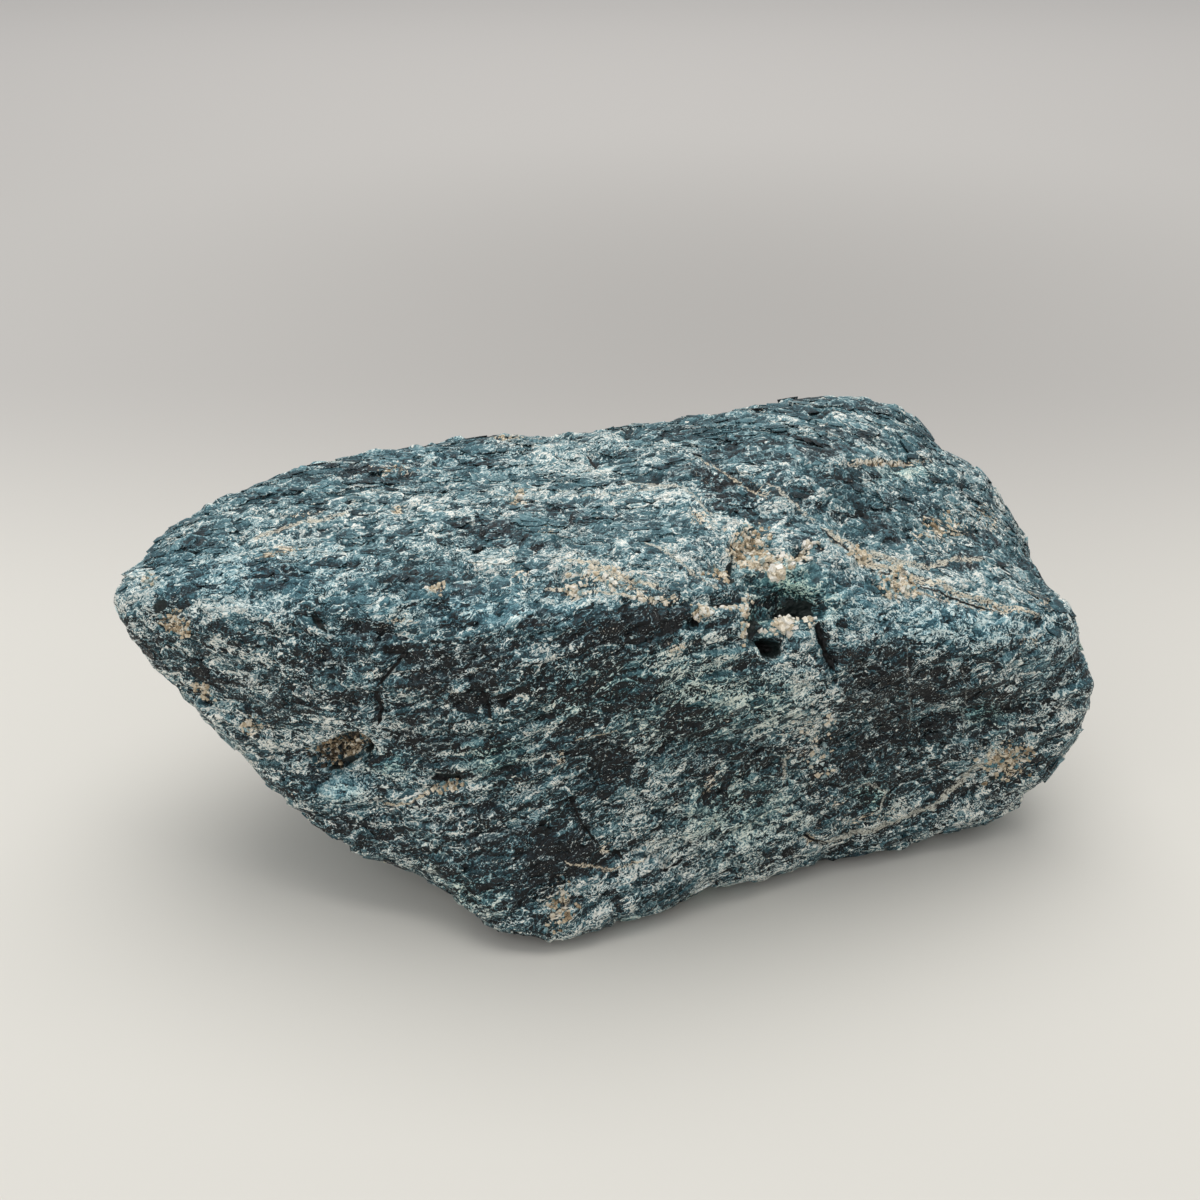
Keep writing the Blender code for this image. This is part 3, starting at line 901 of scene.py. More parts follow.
# Its second value, how far a point lies along the painted light's way, gives that painted light in the
# finish.
store(flake_mesh, "inside", at_middle, np.clip(toward_painted_light.ravel(), -1, 1) * 0.5, nothing)
store(flake_mesh, "relief", nothing, nothing, nothing)
store(flake_mesh, "stain", for_flakes(DARK), for_flakes(PALE), for_flakes(TAN))
store(flake_mesh, "tint_and_hole_shade", for_flakes(BLUE), for_flakes(GREEN), nothing)
store(flake_mesh, "crack", nothing + LINE_REACH, nothing, nothing)
store(flake_mesh, "vein", nothing + LINE_REACH, nothing, nothing)
store(flake_mesh, "stream", *(along_stream(FLAKE_POINTS.reshape(-1, 3)) / MM).T)
print("stored", [a.name for a in flake_mesh.attributes if a.data_type == "FLOAT_VECTOR"])

# %% [markdown]
# ## Cream crystals
#
# The hollow, the pits and some old cracks hold another mineral: small blocky crystals, cream
# where they are fresh and brown where they are dirty. They are loose-edged boxes with pushed
# corners, each turned its own way, packed where the photograph shows them. The few larger lumps
# are heaps of bigger ones. Bumps in the finish alone would lie flat when the stone is turned.

# %% Crystals in the hollow and the pits
CRYSTAL_COUNT = 1700
CRYSTAL_SIZES = (0.35 * MM, 1.5 * MM)
CRYSTAL_STRAY = 0.25 * MM
BOX_CORNERS = 8
BOX_TRIANGLES = 12
# Each place: pixel x, pixel y, half width, half height, turn, how crowded it is, and how pale.
CRYSTAL_PLACES = (
    (752, 546, 21, 20, -20, 1.0, 0.55), (764, 562, 18, 10, 0, 0.8, 0.80), (784, 626, 12, 10, 0, 1.0, 0.95),
    (746, 618, 4, 27, 2, 1.0, 0.75), (702, 612, 11, 7, 0, 1.0, 0.75), (726, 607, 16, 2, -4, 0.9, 0.85),
    (340, 750, 25, 13, -20, 0.8, -0.15), (174, 624, 16, 10, 26, 0.8, 0.35), (148, 579, 6, 7, 0, 0.9, 0.75),
    (899, 582, 21, 14, 20, 0.8, 0.70), (860, 555, 11, 8, 0, 0.8, 0.70), (808, 550, 9, 6, 0, 1.0, 0.90),
    (800, 564, 10, 4, -10, 0.9, 0.90), (559, 908, 13, 22, 20, 0.6, 0.40), (1006, 760, 26, 18, -20, 0.5, 0.50),
    (610, 582, 46, 10, 2, 0.30, 0.75), (437, 592, 8, 6, 0, 0.8, 0.70), (516, 500, 7, 7, 0, 0.7, 0.75),
    (446, 788, 15, 5, -10, 0.8, 0.55), (203, 692, 12, 6, 36, 0.7, 0.50), (253, 724, 9, 8, 0, 0.7, 0.60),
    (574, 592, 13, 9, 20, 0.6, 0.75), (720, 574, 16, 9, 10, 0.5, 0.45), (936, 526, 26, 12, -8, 0.30, 0.45),
    (810, 620, 6, 4, 0, 0.9, 0.85), (820, 740, 20, 40, 0, 0.10, 0.75), (655, 600, 30, 5, 4, 0.35, 0.80),
)
# Each lump: pixel x, pixel y, its width in millimetres and how pale it is.
LUMPS = (
    (756, 560, 4.2, 0.72), (769, 559, 4.4, 0.78), (775, 579, 5.4, 0.92), (784, 627, 4.2, 0.88),
    (808, 549, 2.6, 0.9), (741, 540, 3.0, 0.6), (760, 541, 3.2, 0.6), (702, 611, 2.8, 0.8),
    (790, 570, 2.6, 0.85),
)
LUMP_CRYSTALS = 30
# As shares of the lump's width: a crystal's size, how far it strays and how high the middle is.
LUMP_CRYSTAL_SHARE = (0.20, 0.46)
LUMP_REACH_SHARE = 0.34
LUMP_HIGH_SHARE = 0.16
CRYSTAL_PUSH = (0.62, 1.15)
CRYSTAL_STRETCH = np.array([1.0, 0.75, 0.55])


def seated_crystals(chance):
    """Centres, sizes and paleness of small crystals on skin points, picked with a chance set by
    the ovals and the skin's area."""
    crowd, pale_sum = np.zeros(len(BASE)), np.zeros(len(BASE))
    for pixel_x, pixel_y, half_wide, half_high, turn, many, paleness in CRYSTAL_PLACES:
        share = many * oval(pixel_x, pixel_y, half_wide, half_high, turn, 2.0)
        crowd += share
        pale_sum += share * paleness
    weight = crowd * skin_area()
    picked = chance.choice(len(PLACES), CRYSTAL_COUNT, p=weight / weight.sum())
    centres = PLACES[picked] + chance.normal(0, CRYSTAL_STRAY, (CRYSTAL_COUNT, 3))
    sizes = between_two(chance, CRYSTAL_SIZES, CRYSTAL_COUNT)
    return centres, sizes, (pale_sum / (crowd + 1e-9))[picked]


def heaped_crystals(chance):
    """Centres, sizes and paleness of the crystals of each lump: spread evenly in a ball on the
    skin, by the cube root of a random number."""
    found = []
    for pixel_x, pixel_y, wide, paleness in LUMPS:
        far = (PIXEL_X - pixel_x) ** 2 + (PIXEL_Y - pixel_y) ** 2 + 1e6 * (FACING < 0.5)
        here = int(np.argmin(far))
        reach = chance.uniform(0, 1, (LUMP_CRYSTALS, 1)) ** (1 / 3) * wide * LUMP_REACH_SHARE * MM
        around = unit(chance.normal(size=(LUMP_CRYSTALS, 3))) * reach
        size = between_two(chance, LUMP_CRYSTAL_SHARE, LUMP_CRYSTALS) * wide * MM
        centre = PLACES[here] + NORMALS[here] * wide * LUMP_HIGH_SHARE * MM
        found.append((centre + around, size, np.full(LUMP_CRYSTALS, paleness)))
    return [np.concatenate(parts) for parts in zip(*found)]


def random_turns(chance, count):
    """Random turns: two random directions made square to each other, and their cross product."""
    first = unit(chance.normal(size=(count, 3)))
    second = chance.normal(size=(count, 3))
    second = unit(second - (second * first).sum(axis=1)[:, None] * first)
    return np.stack([first, second, np.cross(first, second)], axis=1)


def crystals(centres, sizes, chance):
    """Eight corners for each crystal: a box's corners, each pushed in or out, then turned."""
    corners = np.array(list(np.ndindex(2, 2, 2))) - 0.5
    pushed = corners * between_two(chance, CRYSTAL_PUSH, (len(centres), BOX_CORNERS, 3))
    boxes = pushed * CRYSTAL_STRETCH * sizes[:, None, None]
    return centres[:, None] + boxes @ random_turns(chance, len(centres))


def box_faces(count):
    """The six squares of each box, seen from outside."""
    squares = np.array([[0, 1, 3, 2], [4, 6, 7, 5], [0, 4, 5, 1],
                        [2, 3, 7, 6], [0, 2, 6, 4], [1, 5, 7, 3]])
    return ((np.arange(count) * BOX_CORNERS)[:, None, None] + squares).reshape(-1, 4)


crystal_chance = np.random.default_rng(12)
seated, heaped = seated_crystals(crystal_chance), heaped_crystals(crystal_chance)
CENTRES, SIZES, PALENESS = (np.concatenate(pair) for pair in zip(seated, heaped))
CRYSTAL_POINTS = crystals(CENTRES, SIZES, crystal_chance).reshape(-1, 3)
crystal_mesh = bpy.data.meshes.new("cream_crystals")
crystal_mesh.from_pydata(CRYSTAL_POINTS, [], box_faces(len(CENTRES)))
crystal_mesh.update()
crystal_object = new_object("cream_crystals", crystal_mesh)
own_numbers = crystal_chance.uniform(0, 1, (len(CENTRES), 2)).repeat(BOX_CORNERS, axis=0)
store(crystal_mesh, "crystal", *own_numbers.T, PALENESS.repeat(BOX_CORNERS))
store(crystal_mesh, "stream", *(along_stream(CRYSTAL_POINTS) / MM).T)
print("crystals:", len(CENTRES), "with", len(CENTRES) * BOX_TRIANGLES, "triangles")

# %% [markdown]
# ## The finish of split apatite
#
# Massive apatite isn't one colour. Each flake is a crystal seen from its own side: slate when
# light goes into it, teal when some comes back, pale blue-grey where it is crushed. So one value,
# the tone, runs from dark to pale, and patches, flakes, flecks, specks and dust add up to it,
# with painted light and shade from above. The tone then picks the colour from two ramps, one
# teal and one slate, which keeps all the colours in one family, as they are in the stone.

# %% Short calls for nodes
MIDDLE_GREY = (0.5, 0.5, 0.5)


def screen_colour(red, green, blue):
    """A screen colour, each part from 0 to 255, as the amount of light it stands for: over a
    short straight start, (part + 0.055) / 1.055 to the power 2.4."""
    parts = np.array([red, green, blue]) / 255
    light = np.where(parts > 0.04045, ((parts + 0.055) / 1.055) ** 2.4, parts / 12.92)
    return (*(float(v) for v in light), 1.0)


class Finish:
    """A material and its nodes, with a short call for each kind that the finishes use."""

    def __init__(self, name):
        self.material = bpy.data.materials.new(name)
        self.material.use_nodes = True
        self.tree = self.material.node_tree
        self.surface = self.tree.nodes["Principled BSDF"]

    def node(self, kind, inputs, **settings):
        """One node. An input is a number, a colour or another node's output."""
        made = self.tree.nodes.new(kind)
        for name, value in settings.items():
            setattr(made, name, value)
        for key, value in inputs.items():
            self.give(made.inputs[key], value)
        return made

    def give(self, socket, value):
        """Joins another node's output to a socket, or sets the socket to a number or a colour."""
        if isinstance(value, bpy.types.NodeSocket):
            self.tree.links.new(value, socket)
        else:
            socket.default_value = value

    def maths(self, operation, first, second=0.0, third=0.0):
        """A number worked out from up to three others, by the operation's name."""
        inputs = {0: first, 1: second, 2: third}
        return self.node("ShaderNodeMath", inputs, operation=operation).outputs[0]

    def times(self, first, second):
        """Two numbers multiplied."""
        return self.maths("MULTIPLY", first, second)

    def plus(self, first, second):
        """Two numbers added."""
        return self.maths("ADD", first, second)

    def scaled(self, value, factor, more):
        """A number times a factor, plus one more."""
        return self.maths("MULTIPLY_ADD", value, factor, more)

    def vectors(self, operation, first, second=(0.0, 0.0, 0.0)):
        """A vector worked out from two, or a number for a dot product and a length."""
        made = self.node("ShaderNodeVectorMath", {0: first, 1: second}, operation=operation)
        return made.outputs["Value" if operation in ("DOT_PRODUCT", "LENGTH") else "Vector"]

    def total(self, *terms):
        """The sum of value times weight over pairs of value and weight."""
        found = terms[0][0] if terms[0][1] == 1 else self.times(*terms[0])
        for value, weight in terms[1:]:
            found = self.scaled(value, weight, found)
        return found

    def between(self, value, low, high):
        """0 below low and 1 above high, eased; with low above high it runs the other way."""
        inputs = {"Value": value, "From Min": low, "From Max": high}
        made = self.node("ShaderNodeMapRange", inputs, interpolation_type="SMOOTHSTEP")
        return made.outputs["Result"]

    def mix(self, share, first, second, blend="MIX"):
        """A colour between two: the first where the share is 0, the second where it is 1."""
        made = self.node("ShaderNodeMix", {}, data_type="RGBA", blend_type=blend)
        sockets = made.inputs[0], made.inputs[6], made.inputs[7]
        for socket, value in zip(sockets, (share, first, second)):
            self.give(socket, value)
        return made.outputs[2]

    def blend(self, share, first, second):
        """A number between two: the first where the share is 0, the second where it is 1."""
        return self.node("ShaderNodeMix", {0: share, 2: first, 3: second}).outputs[0]

    def ramp(self, value, stops):
        """A colour ramp from stops of a position and a screen colour."""
        made = self.node("ShaderNodeValToRGB", {0: value})
        points = made.color_ramp.elements
        while len(points) < len(stops):
            points.new(1.0)
        for point, (position, colour) in zip(points, stops):
            point.position = position
            point.color = screen_colour(*colour)
        return made.outputs["Color"]

    def noise(self, vector, scale, detail, roughness, output="Fac"):
        """Cloudy noise around 0.5, as one number, or as three with the output Color."""
        inputs = {"Vector": vector, "Scale": scale, "Detail": detail, "Roughness": roughness}
        return self.node("ShaderNodeTexNoise", inputs).outputs[output]

    def grain(self, places, per_mm, detail, roughness):
        """Noise with so many grains in a millimetre along, across and through the stream."""
        return self.noise(self.vectors("MULTIPLY", places, per_mm), 1.0, detail, roughness)

    def pushed(self, places, source, per_mm, detail, reach):
        """Places pushed about by the noise's three numbers less a half, times the reach."""
        colour = self.noise(source, per_mm, detail, 0.6, "Color")
        push = self.vectors("SUBTRACT", colour, MIDDLE_GREY)
        return self.vectors("ADD", places, self.vectors("MULTIPLY", push, reach))

    def cells(self, vector):
        """Irregular cells, about one for each step of 1: each has a point of its own and three
        random numbers, and gives the distance to its point."""
        return self.node("ShaderNodeTexVoronoi", {"Vector": vector, "Scale": 1.0})

    def lean(self, vector, cell):
        """How high a cell's flat face is at a place: the place seen from the cell's own point,
        dotted with the cell's random numbers less a half, so that each face leans its own way."""
        seen = self.vectors("SUBTRACT", vector, cell.outputs["Position"])
        way = self.vectors("SUBTRACT", cell.outputs["Color"], MIDDLE_GREY)
        return self.vectors("DOT_PRODUCT", seen, way)

    def parts(self, vector):
        """The three numbers of a vector or a colour."""
        return self.node("ShaderNodeSeparateXYZ", {0: vector}).outputs

    def stored_vector(self, name):
        """What the mesh stores under a name, as one vector."""
        return self.node("ShaderNodeAttribute", {}, attribute_name=name).outputs["Vector"]

    def stored(self, name):
        """The three values that the mesh stores under a name."""
        return self.parts(self.stored_vector(name))

    def bumps(self, height, strength):
        """The surface's direction with small bumps, from their height in millimetres."""
        inputs = {"Height": height, "Distance": MM, "Strength": strength}
        return self.node("ShaderNodeBump", inputs).outputs["Normal"]

    def cover(self, colour, rough, bumps, bending, shine):
        """Gives the surface its colour, roughness and bumps, how much it bends light, and shine."""
        surface = self.surface.inputs
        self.give(surface["Base Color"], colour)
        self.give(surface["Roughness"], rough)
        self.give(surface["Normal"], bumps)
        surface["IOR"].default_value = bending
        surface["Specular IOR Level"].default_value = shine
        return self.material


print("slate as light:", [round(v, 3) for v in screen_colour(36, 50, 56)[:3]])

# %% Tones and sizes of grain
TEAL_TONES = (
    (0.00, (5, 9, 11)), (0.18, (13, 27, 31)), (0.34, (34, 64, 72)), (0.48, (62, 102, 112)),
    (0.60, (99, 140, 148)), (0.72, (146, 176, 180)), (0.86, (197, 214, 212)), (1.00, (244, 242, 232)),
)
SLATE_TONES = (
    (0.00, (5, 8, 10)), (0.18, (12, 19, 24)), (0.34, (36, 49, 56)), (0.48, (66, 81, 86)),
    (0.60, (102, 118, 121)), (0.72, (143, 157, 159)), (0.86, (190, 200, 198)), (1.00, (240, 240, 232)),
)
STAIN_TONES = (
    (0.00, (24, 21, 18)), (0.22, (88, 74, 56)), (0.40, (166, 148, 118)), (0.60, (216, 203, 178)),
    (1.00, (246, 240, 226)),
)
# How many there are in a millimetre along the stream, across it and through it.
PATCH_PER_MM = (0.13, 0.20, 0.26)
FLAKE_PER_MM = (0.36, 0.50, 0.68)
FLECK_PER_MM = (0.90, 1.20, 1.50)
SPECK_PER_MM = (1.25, 2.10, 2.50)
DUST_PER_MM = (1.80, 2.90, 3.30)
RAGGED_PER_MM = (0.42, 0.52, 0.62)
WEB_PER_MM = (0.40, 0.48, 0.58)
# The same number in every direction.
CLOUD_PER_MM = 0.06
BEND_PER_MM = 0.20
FRAY_PER_MM = 1.1
OCHRE_PER_MM = 0.45
WOBBLE_PER_MM = 0.8
# How far the noise pushes places about, in millimetres.
BEND_REACH = (5.0, 4.0, 2.6)
FRAY_REACH = (1.5, 1.3, 1.1)
print("stone runs through", len(TEAL_TONES), "teal and", len(SLATE_TONES), "slate tones")

# %% [markdown]
# ## Grain
#
# The noise reads places along the stream. Slow noise pushes them about, so that rows of flakes
# bend, and quicker noise pushes them again, so that rims fray. The loose flakes of the mesh have
# random numbers of their own, and these take the place of the cells' there.

# %% Places and the mesh's values
f = Finish("split_apatite")
stream = f.stored_vector("stream")
bent = f.pushed(stream, stream, BEND_PER_MM, 1.0, BEND_REACH)
frayed = f.pushed(bent, stream, FRAY_PER_MM, 0.0, FRAY_REACH)
chip_big, chip_small, is_flake = f.stored("chip")
stands_out, _, _ = f.stored("relief")
dark, pale, tan = f.stored("stain")
blue, green, hole_shade = f.stored("tint_and_hole_shade")
crack_offset, crack_half, _ = f.stored("crack")
vein_offset, vein_half, vein_warmth = f.stored("vein")
print("reads six sets of values from the mesh, with", len(f.tree.nodes), "nodes so far")

# %% Patches, flakes, flecks, specks and dust
cloud = f.noise(bent, CLOUD_PER_MM, 1.0, 0.55)
patched = f.vectors("MULTIPLY", frayed, PATCH_PER_MM)
patch_cell = f.cells(patched)
patch = f.parts(patch_cell.outputs["Color"])
flaked = f.vectors("MULTIPLY", frayed, FLAKE_PER_MM)
flake_cell = f.cells(flaked)
own = f.stored_vector("own")
flake = f.parts(f.mix(is_flake, flake_cell.outputs["Color"], own))
cell_rim = f.between(flake_cell.outputs["Distance"], 0.50, 0.68)
from_middle, painted_lit_side, _ = f.stored("inside")
rim = f.blend(is_flake, cell_rim, f.between(from_middle, 0.33, 0.07))
fleck = f.grain(bent, FLECK_PER_MM, 1.0, 0.6)
speck = f.grain(frayed, SPECK_PER_MM, 2.0, 0.68)
dust = f.grain(frayed, DUST_PER_MM, 1.0, 0.6)
ragged = f.grain(bent, RAGGED_PER_MM, 2.0, 0.6)
pale = f.times(pale, f.scaled(f.between(ragged, 0.42, 0.60), 1.2, 0.35))
dark = f.times(dark, f.scaled(f.between(ragged, 0.60, 0.42), 0.9, 0.45))
level = f.parts(f.node("ShaderNodeNewGeometry", {}).outputs["Normal"])
# How much a face points up. Below, up-facing faces are painted paler and front faces darker: painted light
# from above.
upward = f.between(level[2], 0.0, 0.8)
print("grain made,", len(f.tree.nodes), "nodes so far")

# %% [markdown]
# ## Tone
#
# Each value takes part in the tone with a weight, and each pair below is a value and its weight.
# Where the stone is slate the tone goes down, and where it is crushed it goes up. Rims of flakes
# and a thin web of bruises are paler. The finest grain counts most where the stone is broken up,
# and less where it faces up: the top looks softer in the photograph. Light and shade are painted
# into the tone as well. Faces that point up, places that stand out and the upper side of each
# flake are paler, and front faces and sunk places are darker. Where places stand out, part of
# it is bruising.

# %% Slate and crushed stone
# Up-facing and raised places get less slate and more crushed stone, and front faces and sunk places more
# slate: painted light from above and painted shade in recesses, with raised edges partly bruised.
slate = f.total((dark, 0.9), (pale, -0.5), (patch[0], 0.55), (flake[0], 0.35), (cloud, -0.5),
                (upward, -0.12), (stands_out, -0.2))
slate = f.between(slate, 0.34, 0.54)
crushed = f.total((pale, 0.7), (dark, -0.6), (patch[1], 0.45), (flake[1], 0.45), (cloud, 0.5),
                  (upward, 0.12), (stands_out, 0.25))
crushed = f.between(crushed, 0.80, 1.10)
# Within each flake, and within each cell of the skin, the upper and back part is painted paler and the lower
# part darker: painted light from above.
inside = f.parts(f.vectors("SUBTRACT", flaked, flake_cell.outputs["Position"]))
painted_lit_upper = f.blend(is_flake, f.total((inside[2], 1), (inside[1], 0.5)), painted_lit_side)
# The tone is paler where faces point up and where places stand out, and darker where they are sunk: painted
# light and shade, with raised edges partly bruised.
tone = f.total((patch[2], 0.24), (flake[2], 0.24), (crushed, 0.14), (slate, -0.13), (upward, 0.04),
               (pale, 0.08), (dark, -0.09), (stands_out, 0.16), (chip_big, 0.08), (chip_small, 0.08),
               (painted_lit_upper, 0.22))
print("tone begun,", len(f.tree.nodes), "nodes so far")

# %% Rims, web and grit
rim_share = f.times(rim, f.between(flake[0], 0.35, 0.55))
rim_share = f.times(rim_share, f.between(speck, 0.38, 0.56))
web_noise = f.grain(bent, WEB_PER_MM, 1.0, 0.6)
web = f.between(f.maths("ABSOLUTE", f.plus(web_noise, -0.5)), 0.045, 0.008)
web = f.times(web, f.between(f.total((flake[1], 0.5), (speck, 1.0)), 0.60, 0.90))
tone = f.total((tone, 1), (rim_share, 0.32), (web, 0.30))
broken = f.total((patch[1], 0.7), (flake[0], 0.35), (crushed, 0.35), (cloud, 0.25), (pale, 0.22),
                 (dark, -0.28), (slate, -0.12), (is_flake, -0.12))
broken = f.between(broken, 0.62, 0.96)
grit = f.total((broken, 1.05), (upward, -0.25))
least_grit = f.scaled(upward, -0.25, 0.42)
grit = f.plus(f.maths("MAXIMUM", grit, 0.0), least_grit)
tone = f.total((tone, 1),
               (f.times(f.plus(fleck, -0.5), grit), 0.60),
               (f.times(f.plus(speck, -0.5), grit), 1.40),
               (f.times(f.plus(dust, -0.5), f.plus(grit, 0.50)), 0.90))
tone = f.total((tone, 1), (broken, 0.10))
print("tone has all its parts,", len(f.tree.nodes), "nodes so far")

# %% Tone to colour
stretch = f.scaled(upward, -0.70, 1.64)
# The tone level rises where faces point up: painted light from above.
painted_top_light_level = f.scaled(upward, 0.035, 0.458)
tone = f.scaled(f.plus(tone, -0.47), stretch, painted_top_light_level)
hue = f.total((flake[1], 0.45), (patch[0], 0.35), (slate, 0.5), (pale, 0.1), (cloud, 0.5))
hue = f.scaled(f.between(hue, 0.65, 1.30), 0.66, 0.16)
colour = f.mix(hue, f.ramp(tone, TEAL_TONES), f.ramp(tone, SLATE_TONES))
bluer = f.mix(1.0, colour, (0.70, 1.00, 1.12, 1.0), blend="MULTIPLY")
colour = f.mix(f.times(blue, 0.6), colour, bluer)
greener = f.mix(1.0, colour, (0.70, 1.05, 0.92, 1.0), blend="MULTIPLY")
colour = f.mix(f.times(green, 0.8), colour, greener)
print("plain colour made,", len(f.tree.nodes), "nodes so far")

# %% [markdown]
# ## Stains, veins and holes
#
# These lie over the stone's own colour, each by a share from 0 to 1: short pale dashes, tan
# stains, the veins, painted shade in whatever is sunk and in the holes, and the cracks last.

# %% Dashes and tan stains
ochre = f.noise(bent, OCHRE_PER_MM, 2.0, 0.68)
dash = f.total((speck, 0.7), (dust, 0.8), (crushed, 0.07), (upward, -0.05), (cloud, 0.1))
dash = f.between(dash, 0.95, 1.04)
warm = f.between(f.total((ochre, 1.0), (tan, 0.15)), 0.54, 0.64)
dash_colour = f.mix(warm, screen_colour(222, 232, 228), screen_colour(242, 228, 204))
colour = f.mix(f.times(dash, 0.85), colour, dash_colour)
grainy = f.total((ochre, 1.0), (speck, 0.8), (flake[2], 0.20))
stain_colour = f.ramp(f.between(grainy, 0.72, 1.28), STAIN_TONES)
stain = f.between(f.total((tan, 1.0), (ochre, 1.3), (fleck, 1.6), (speck, 1.7)), 2.96, 3.14)
stain = f.times(stain, f.between(tan, 0.04, 0.30))
colour = f.mix(stain, colour, stain_colour)
print("stains run through", len(STAIN_TONES), "tones")

# %% Veins
wobble = f.maths("SUBTRACT", f.noise(stream, WOBBLE_PER_MM, 1.0, 0.6), 0.5)
vein_gap = f.maths("ABSOLUTE", f.scaled(wobble, VEIN_WOBBLE, vein_offset))
vein = f.between(f.maths("SUBTRACT", vein_gap, vein_half), 0.15, -0.15)
vein = f.times(vein, f.between(vein_half, 0.05, 0.2))
vein = f.times(vein, f.between(f.total((fleck, 0.8), (speck, 0.8), (dust, 0.5)), 0.88, 1.10))
vein_colour = f.mix(vein_warmth, screen_colour(198, 206, 200), screen_colour(232, 214, 184))
vein_colour = f.mix(f.between(dust, 0.52, 0.30), vein_colour, screen_colour(120, 108, 88))
colour = f.mix(f.times(vein, 0.9), colour, vein_colour)
print("veins wobble by up to", VEIN_WOBBLE / 2, "mm")

# %% Painted shade in sunk places and holes, and cracks
# Sunk places are painted nearly black, less so on veins: painted shade in recesses.
painted_recess_shade = f.times(f.between(stands_out, -0.15, -0.8), f.scaled(vein, -0.5, 0.6))
colour = f.mix(painted_recess_shade, colour, screen_colour(12, 17, 19))
# Holes, pits and the hollow are painted dark green, and nearly black where marked strongest: painted shade
# for the shadow in them.
hollow_shade = f.between(f.total((hole_shade, 1.0), (ochre, 0.9), (speck, 0.5)), 1.22, 1.40)
hollow_shade = f.times(hollow_shade, f.between(hole_shade, 0.04, 0.30))
black_shade_share = f.between(hole_shade, 0.95, 1.10)
hollow_shade_colour = f.mix(black_shade_share, screen_colour(25, 35, 34), screen_colour(13, 13, 12))
colour = f.mix(hollow_shade, colour, hollow_shade_colour)
crack_gap = f.maths("ABSOLUTE", f.scaled(wobble, CRACK_WOBBLE, crack_offset))
crack = f.between(f.scaled(crack_half, -0.8, crack_gap), 0.12, -0.10)
crack = f.times(crack, f.between(crack_half, 0.05, 0.15))
colour = f.mix(crack, colour, screen_colour(8, 9, 9))
print("cracks wobble by up to", CRACK_WOBBLE / 2, "mm")

# %% Bumps and shine
APATITE_BENDING = 1.63
APATITE_SHINE = 0.22

lean = f.lean(flaked, flake_cell)
broad_lean = f.lean(patched, patch_cell)
rubbed = f.between(f.total((patch[1], 0.7), (flake[0], 0.35)), 0.45, 0.90)
rub = f.times(f.total((fleck, 0.45), (speck, 0.25)), f.scaled(rubbed, 1.2, 0.3))
height = f.total((lean, 1.3), (broad_lean, 2.2), (flake[0], 0.4), (patch[0], 0.7), (rub, 1.0))
bumps = f.bumps(height, 0.9)
rough = f.total((f.between(speck, 0.35, 0.65), 0.20), (flake[2], 0.18), (stain, 0.2))
rough = f.plus(rough, 0.32)
split_apatite = f.cover(colour, rough, bumps, APATITE_BENDING, APATITE_SHINE)
stone_mesh.materials.append(split_apatite)
flake_mesh.materials.append(split_apatite)
print("finish has", len(split_apatite.node_tree.nodes), "nodes")

# %% [markdown]
# ## The crystals' finish
#
# Each crystal has one tone: its own random number and how pale its place is, and finer noise for
# the dirt on it. A quarter of them are splinters of the blue stone, fewer where it is palest.

# %% The crystals' finish
CREAM_TONES = (
    (0.00, (20, 18, 16)), (0.20, (78, 66, 50)), (0.38, (156, 134, 104)), (0.56, (210, 194, 166)),
    (0.76, (236, 226, 206)), (1.00, (250, 247, 240)),
)
CRYSTAL_BENDING = 1.6
CRYSTAL_SHINE = 0.25


def crystal_finish():
    """Brown to cream by the crystal's own number and how pale its place is, with finer noise
    for dirt, and duller where it is dirty. Some are splinters in the teal tones."""
    f = Finish("cream_crystals")
    stream = f.stored_vector("stream")
    own, kind, paleness = f.stored("crystal")
    dirt = f.noise(stream, 0.9, 3.0, 0.65)
    speck = f.noise(stream, 3.4, 2.0, 0.6)
    tone = f.total((own, 0.40), (paleness, 0.50), (dirt, 0.70), (speck, 0.65))
    tone = f.plus(tone, -0.54)
    teal = f.times(f.between(kind, 0.70, 0.76), f.between(paleness, 1.0, 0.7))
    colour = f.mix(teal, f.ramp(tone, CREAM_TONES), f.ramp(tone, TEAL_TONES))
    bumps = f.bumps(f.total((speck, 0.5), (dirt, 0.4)), 0.7)
    return f.cover(colour, f.scaled(tone, -0.2, 0.62), bumps, CRYSTAL_BENDING, CRYSTAL_SHINE)


crystal_mesh.materials.append(crystal_finish())
print("crystals run through", len(CREAM_TONES), "tones")

# %% Join the skin to the frame
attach(stone, "root")
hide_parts("apatite_stone")
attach(flake_object, "root")
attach(crystal_object, "root")
print("the skin stands for apatite_stone")

# %% [markdown]
# ## Floor and light
#
# The photograph is plain: a pale warm-grey floor, darker behind the stone, a wide soft light
# from above and behind, and a bright room that fills the shadows. A square area light stands
# for the first, a weaker one comes from the left front, and a pale world stands for the room.
# The floor's colour holds painted shade behind the stone, a painted soft shadow there, and
# painted light that makes it paler again far back.

# %% Floor
FLOOR_HALF = 4.0
FLOOR_DROP = 0.0001
# Painted light and shade in the floor's colour: painted shade behind the stone, painted light far back, and a
# painted soft shadow round one place behind the stone.
NEAR_FLOOR, SHADED_FLOOR_BEHIND = screen_colour(212, 209, 202), screen_colour(186, 183, 179)
LIT_FAR_FLOOR, PAINTED_SHADOW_FLOOR = screen_colour(206, 202, 198), screen_colour(146, 143, 140)
# How far back each change of colour starts and ends, in metres.
SHADE_BEHIND_STONE = (0.08, 0.34)
LIT_FAR_BACK = (0.45, 1.30)
PAINTED_SHADOW_RIGHT, PAINTED_SHADOW_BACK, PAINTED_SHADOW_RADIUS = 0.06, 0.38, 0.46


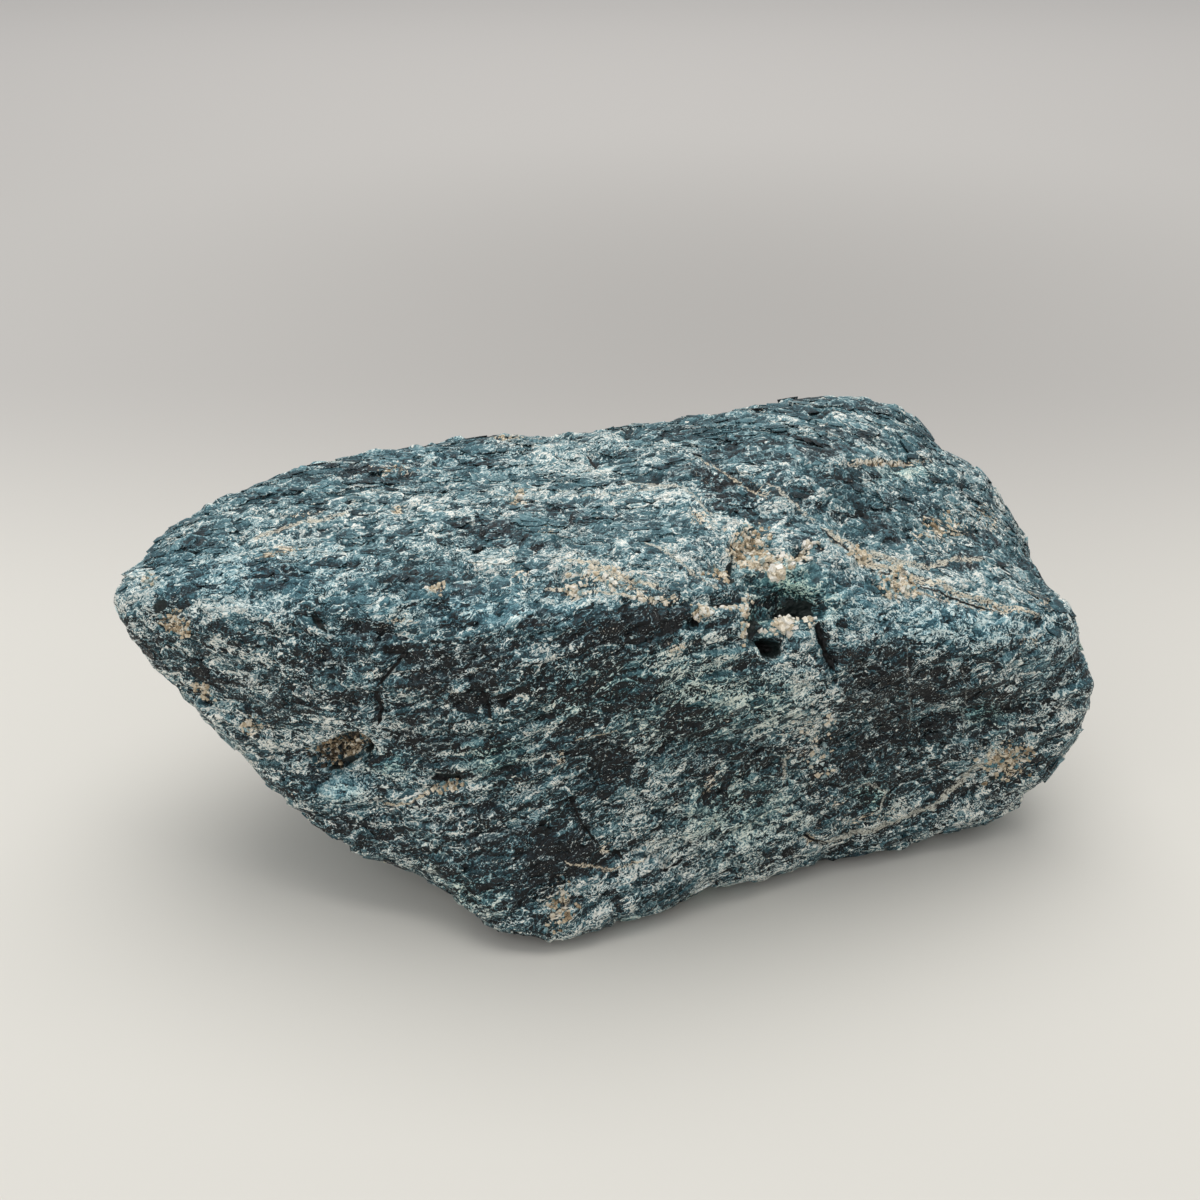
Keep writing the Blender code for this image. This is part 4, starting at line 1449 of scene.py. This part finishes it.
def floor_sheet():
    """A level square under the stone, just below it so that the two faces don't fight."""
    half, low = FLOOR_HALF, -FLOOR_DROP
    mesh = bpy.data.meshes.new("floor")
    corners = [(-half, -half, low), (half, -half, low), (half, half, low), (-half, half, low)]
    mesh.from_pydata(corners, [], [(0, 1, 2, 3)])
    return new_object("floor", mesh)


def floor_finish():
    """Matt pale grey, with painted light and shade: painted shade behind the stone, painted light
    that makes it paler again far away, and a wide soft painted shadow round one place behind
    the stone."""
    f = Finish("pale_floor")
    own = f.node("ShaderNodeTexCoord", {}).outputs["Object"]
    right, back, _ = f.parts(own)
    colour = f.mix(f.between(back, *SHADE_BEHIND_STONE), NEAR_FLOOR, SHADED_FLOOR_BEHIND)
    colour = f.mix(f.between(back, *LIT_FAR_BACK), colour, LIT_FAR_FLOOR)
    gap = {0: f.plus(right, -PAINTED_SHADOW_RIGHT), 1: f.plus(back, -PAINTED_SHADOW_BACK)}
    aside = f.vectors("LENGTH", f.node("ShaderNodeCombineXYZ", gap).outputs[0])
    painted_shadow = f.between(aside, PAINTED_SHADOW_RADIUS, 0.0)
    colour = f.mix(f.times(painted_shadow, 0.55), colour, PAINTED_SHADOW_FLOOR)
    f.tree.links.new(colour, f.surface.inputs["Base Color"])
    f.surface.inputs["Roughness"].default_value = 0.75
    return f.material


floor = floor_sheet()
floor.data.materials.append(floor_finish())
print("floor is", 2 * FLOOR_HALF, "m wide")

# %% Light
# Each: its name, its place, where it aims, its size in metres, its power in watts, its colour.
LIGHTS = (
    ("top_light", (0.03, 0.28, 1.25), (0.0, 0.04, 0.0), 1.3, 12.4, (1.0, 0.985, 0.96)),
    ("front_light", (-0.75, -1.2, 0.9), (0.0, 0.0, 0.04), 1.4, 4.8, (0.97, 0.985, 1.0)),
)
ROOM_COLOUR = (0.97, 0.985, 1.0, 1.0)
ROOM_STRENGTH = 0.58


def area_light(name, place, aim, size, power, colour):
    """A square soft light at a place, turned so that it shines at its aim."""
    data = bpy.data.lights.new(name, "AREA")
    data.shape = "SQUARE"
    data.size = size
    data.energy = power
    data.color = colour
    light = bpy.data.objects.new(name, data)
    light.location = place
    light.rotation_euler = (Vector(aim) - Vector(place)).to_track_quat("-Z", "Y").to_euler()
    bpy.context.scene.collection.objects.link(light)
    return light


for light in LIGHTS:
    area_light(*light)
world = bpy.data.worlds.new("room")
world.use_nodes = True
world.node_tree.nodes["Background"].inputs["Color"].default_value = ROOM_COLOUR
world.node_tree.nodes["Background"].inputs["Strength"].default_value = ROOM_STRENGTH
bpy.context.scene.world = world
bpy.context.scene.view_settings.view_transform = "Standard"
print(len(LIGHTS), "area lights and a pale room")
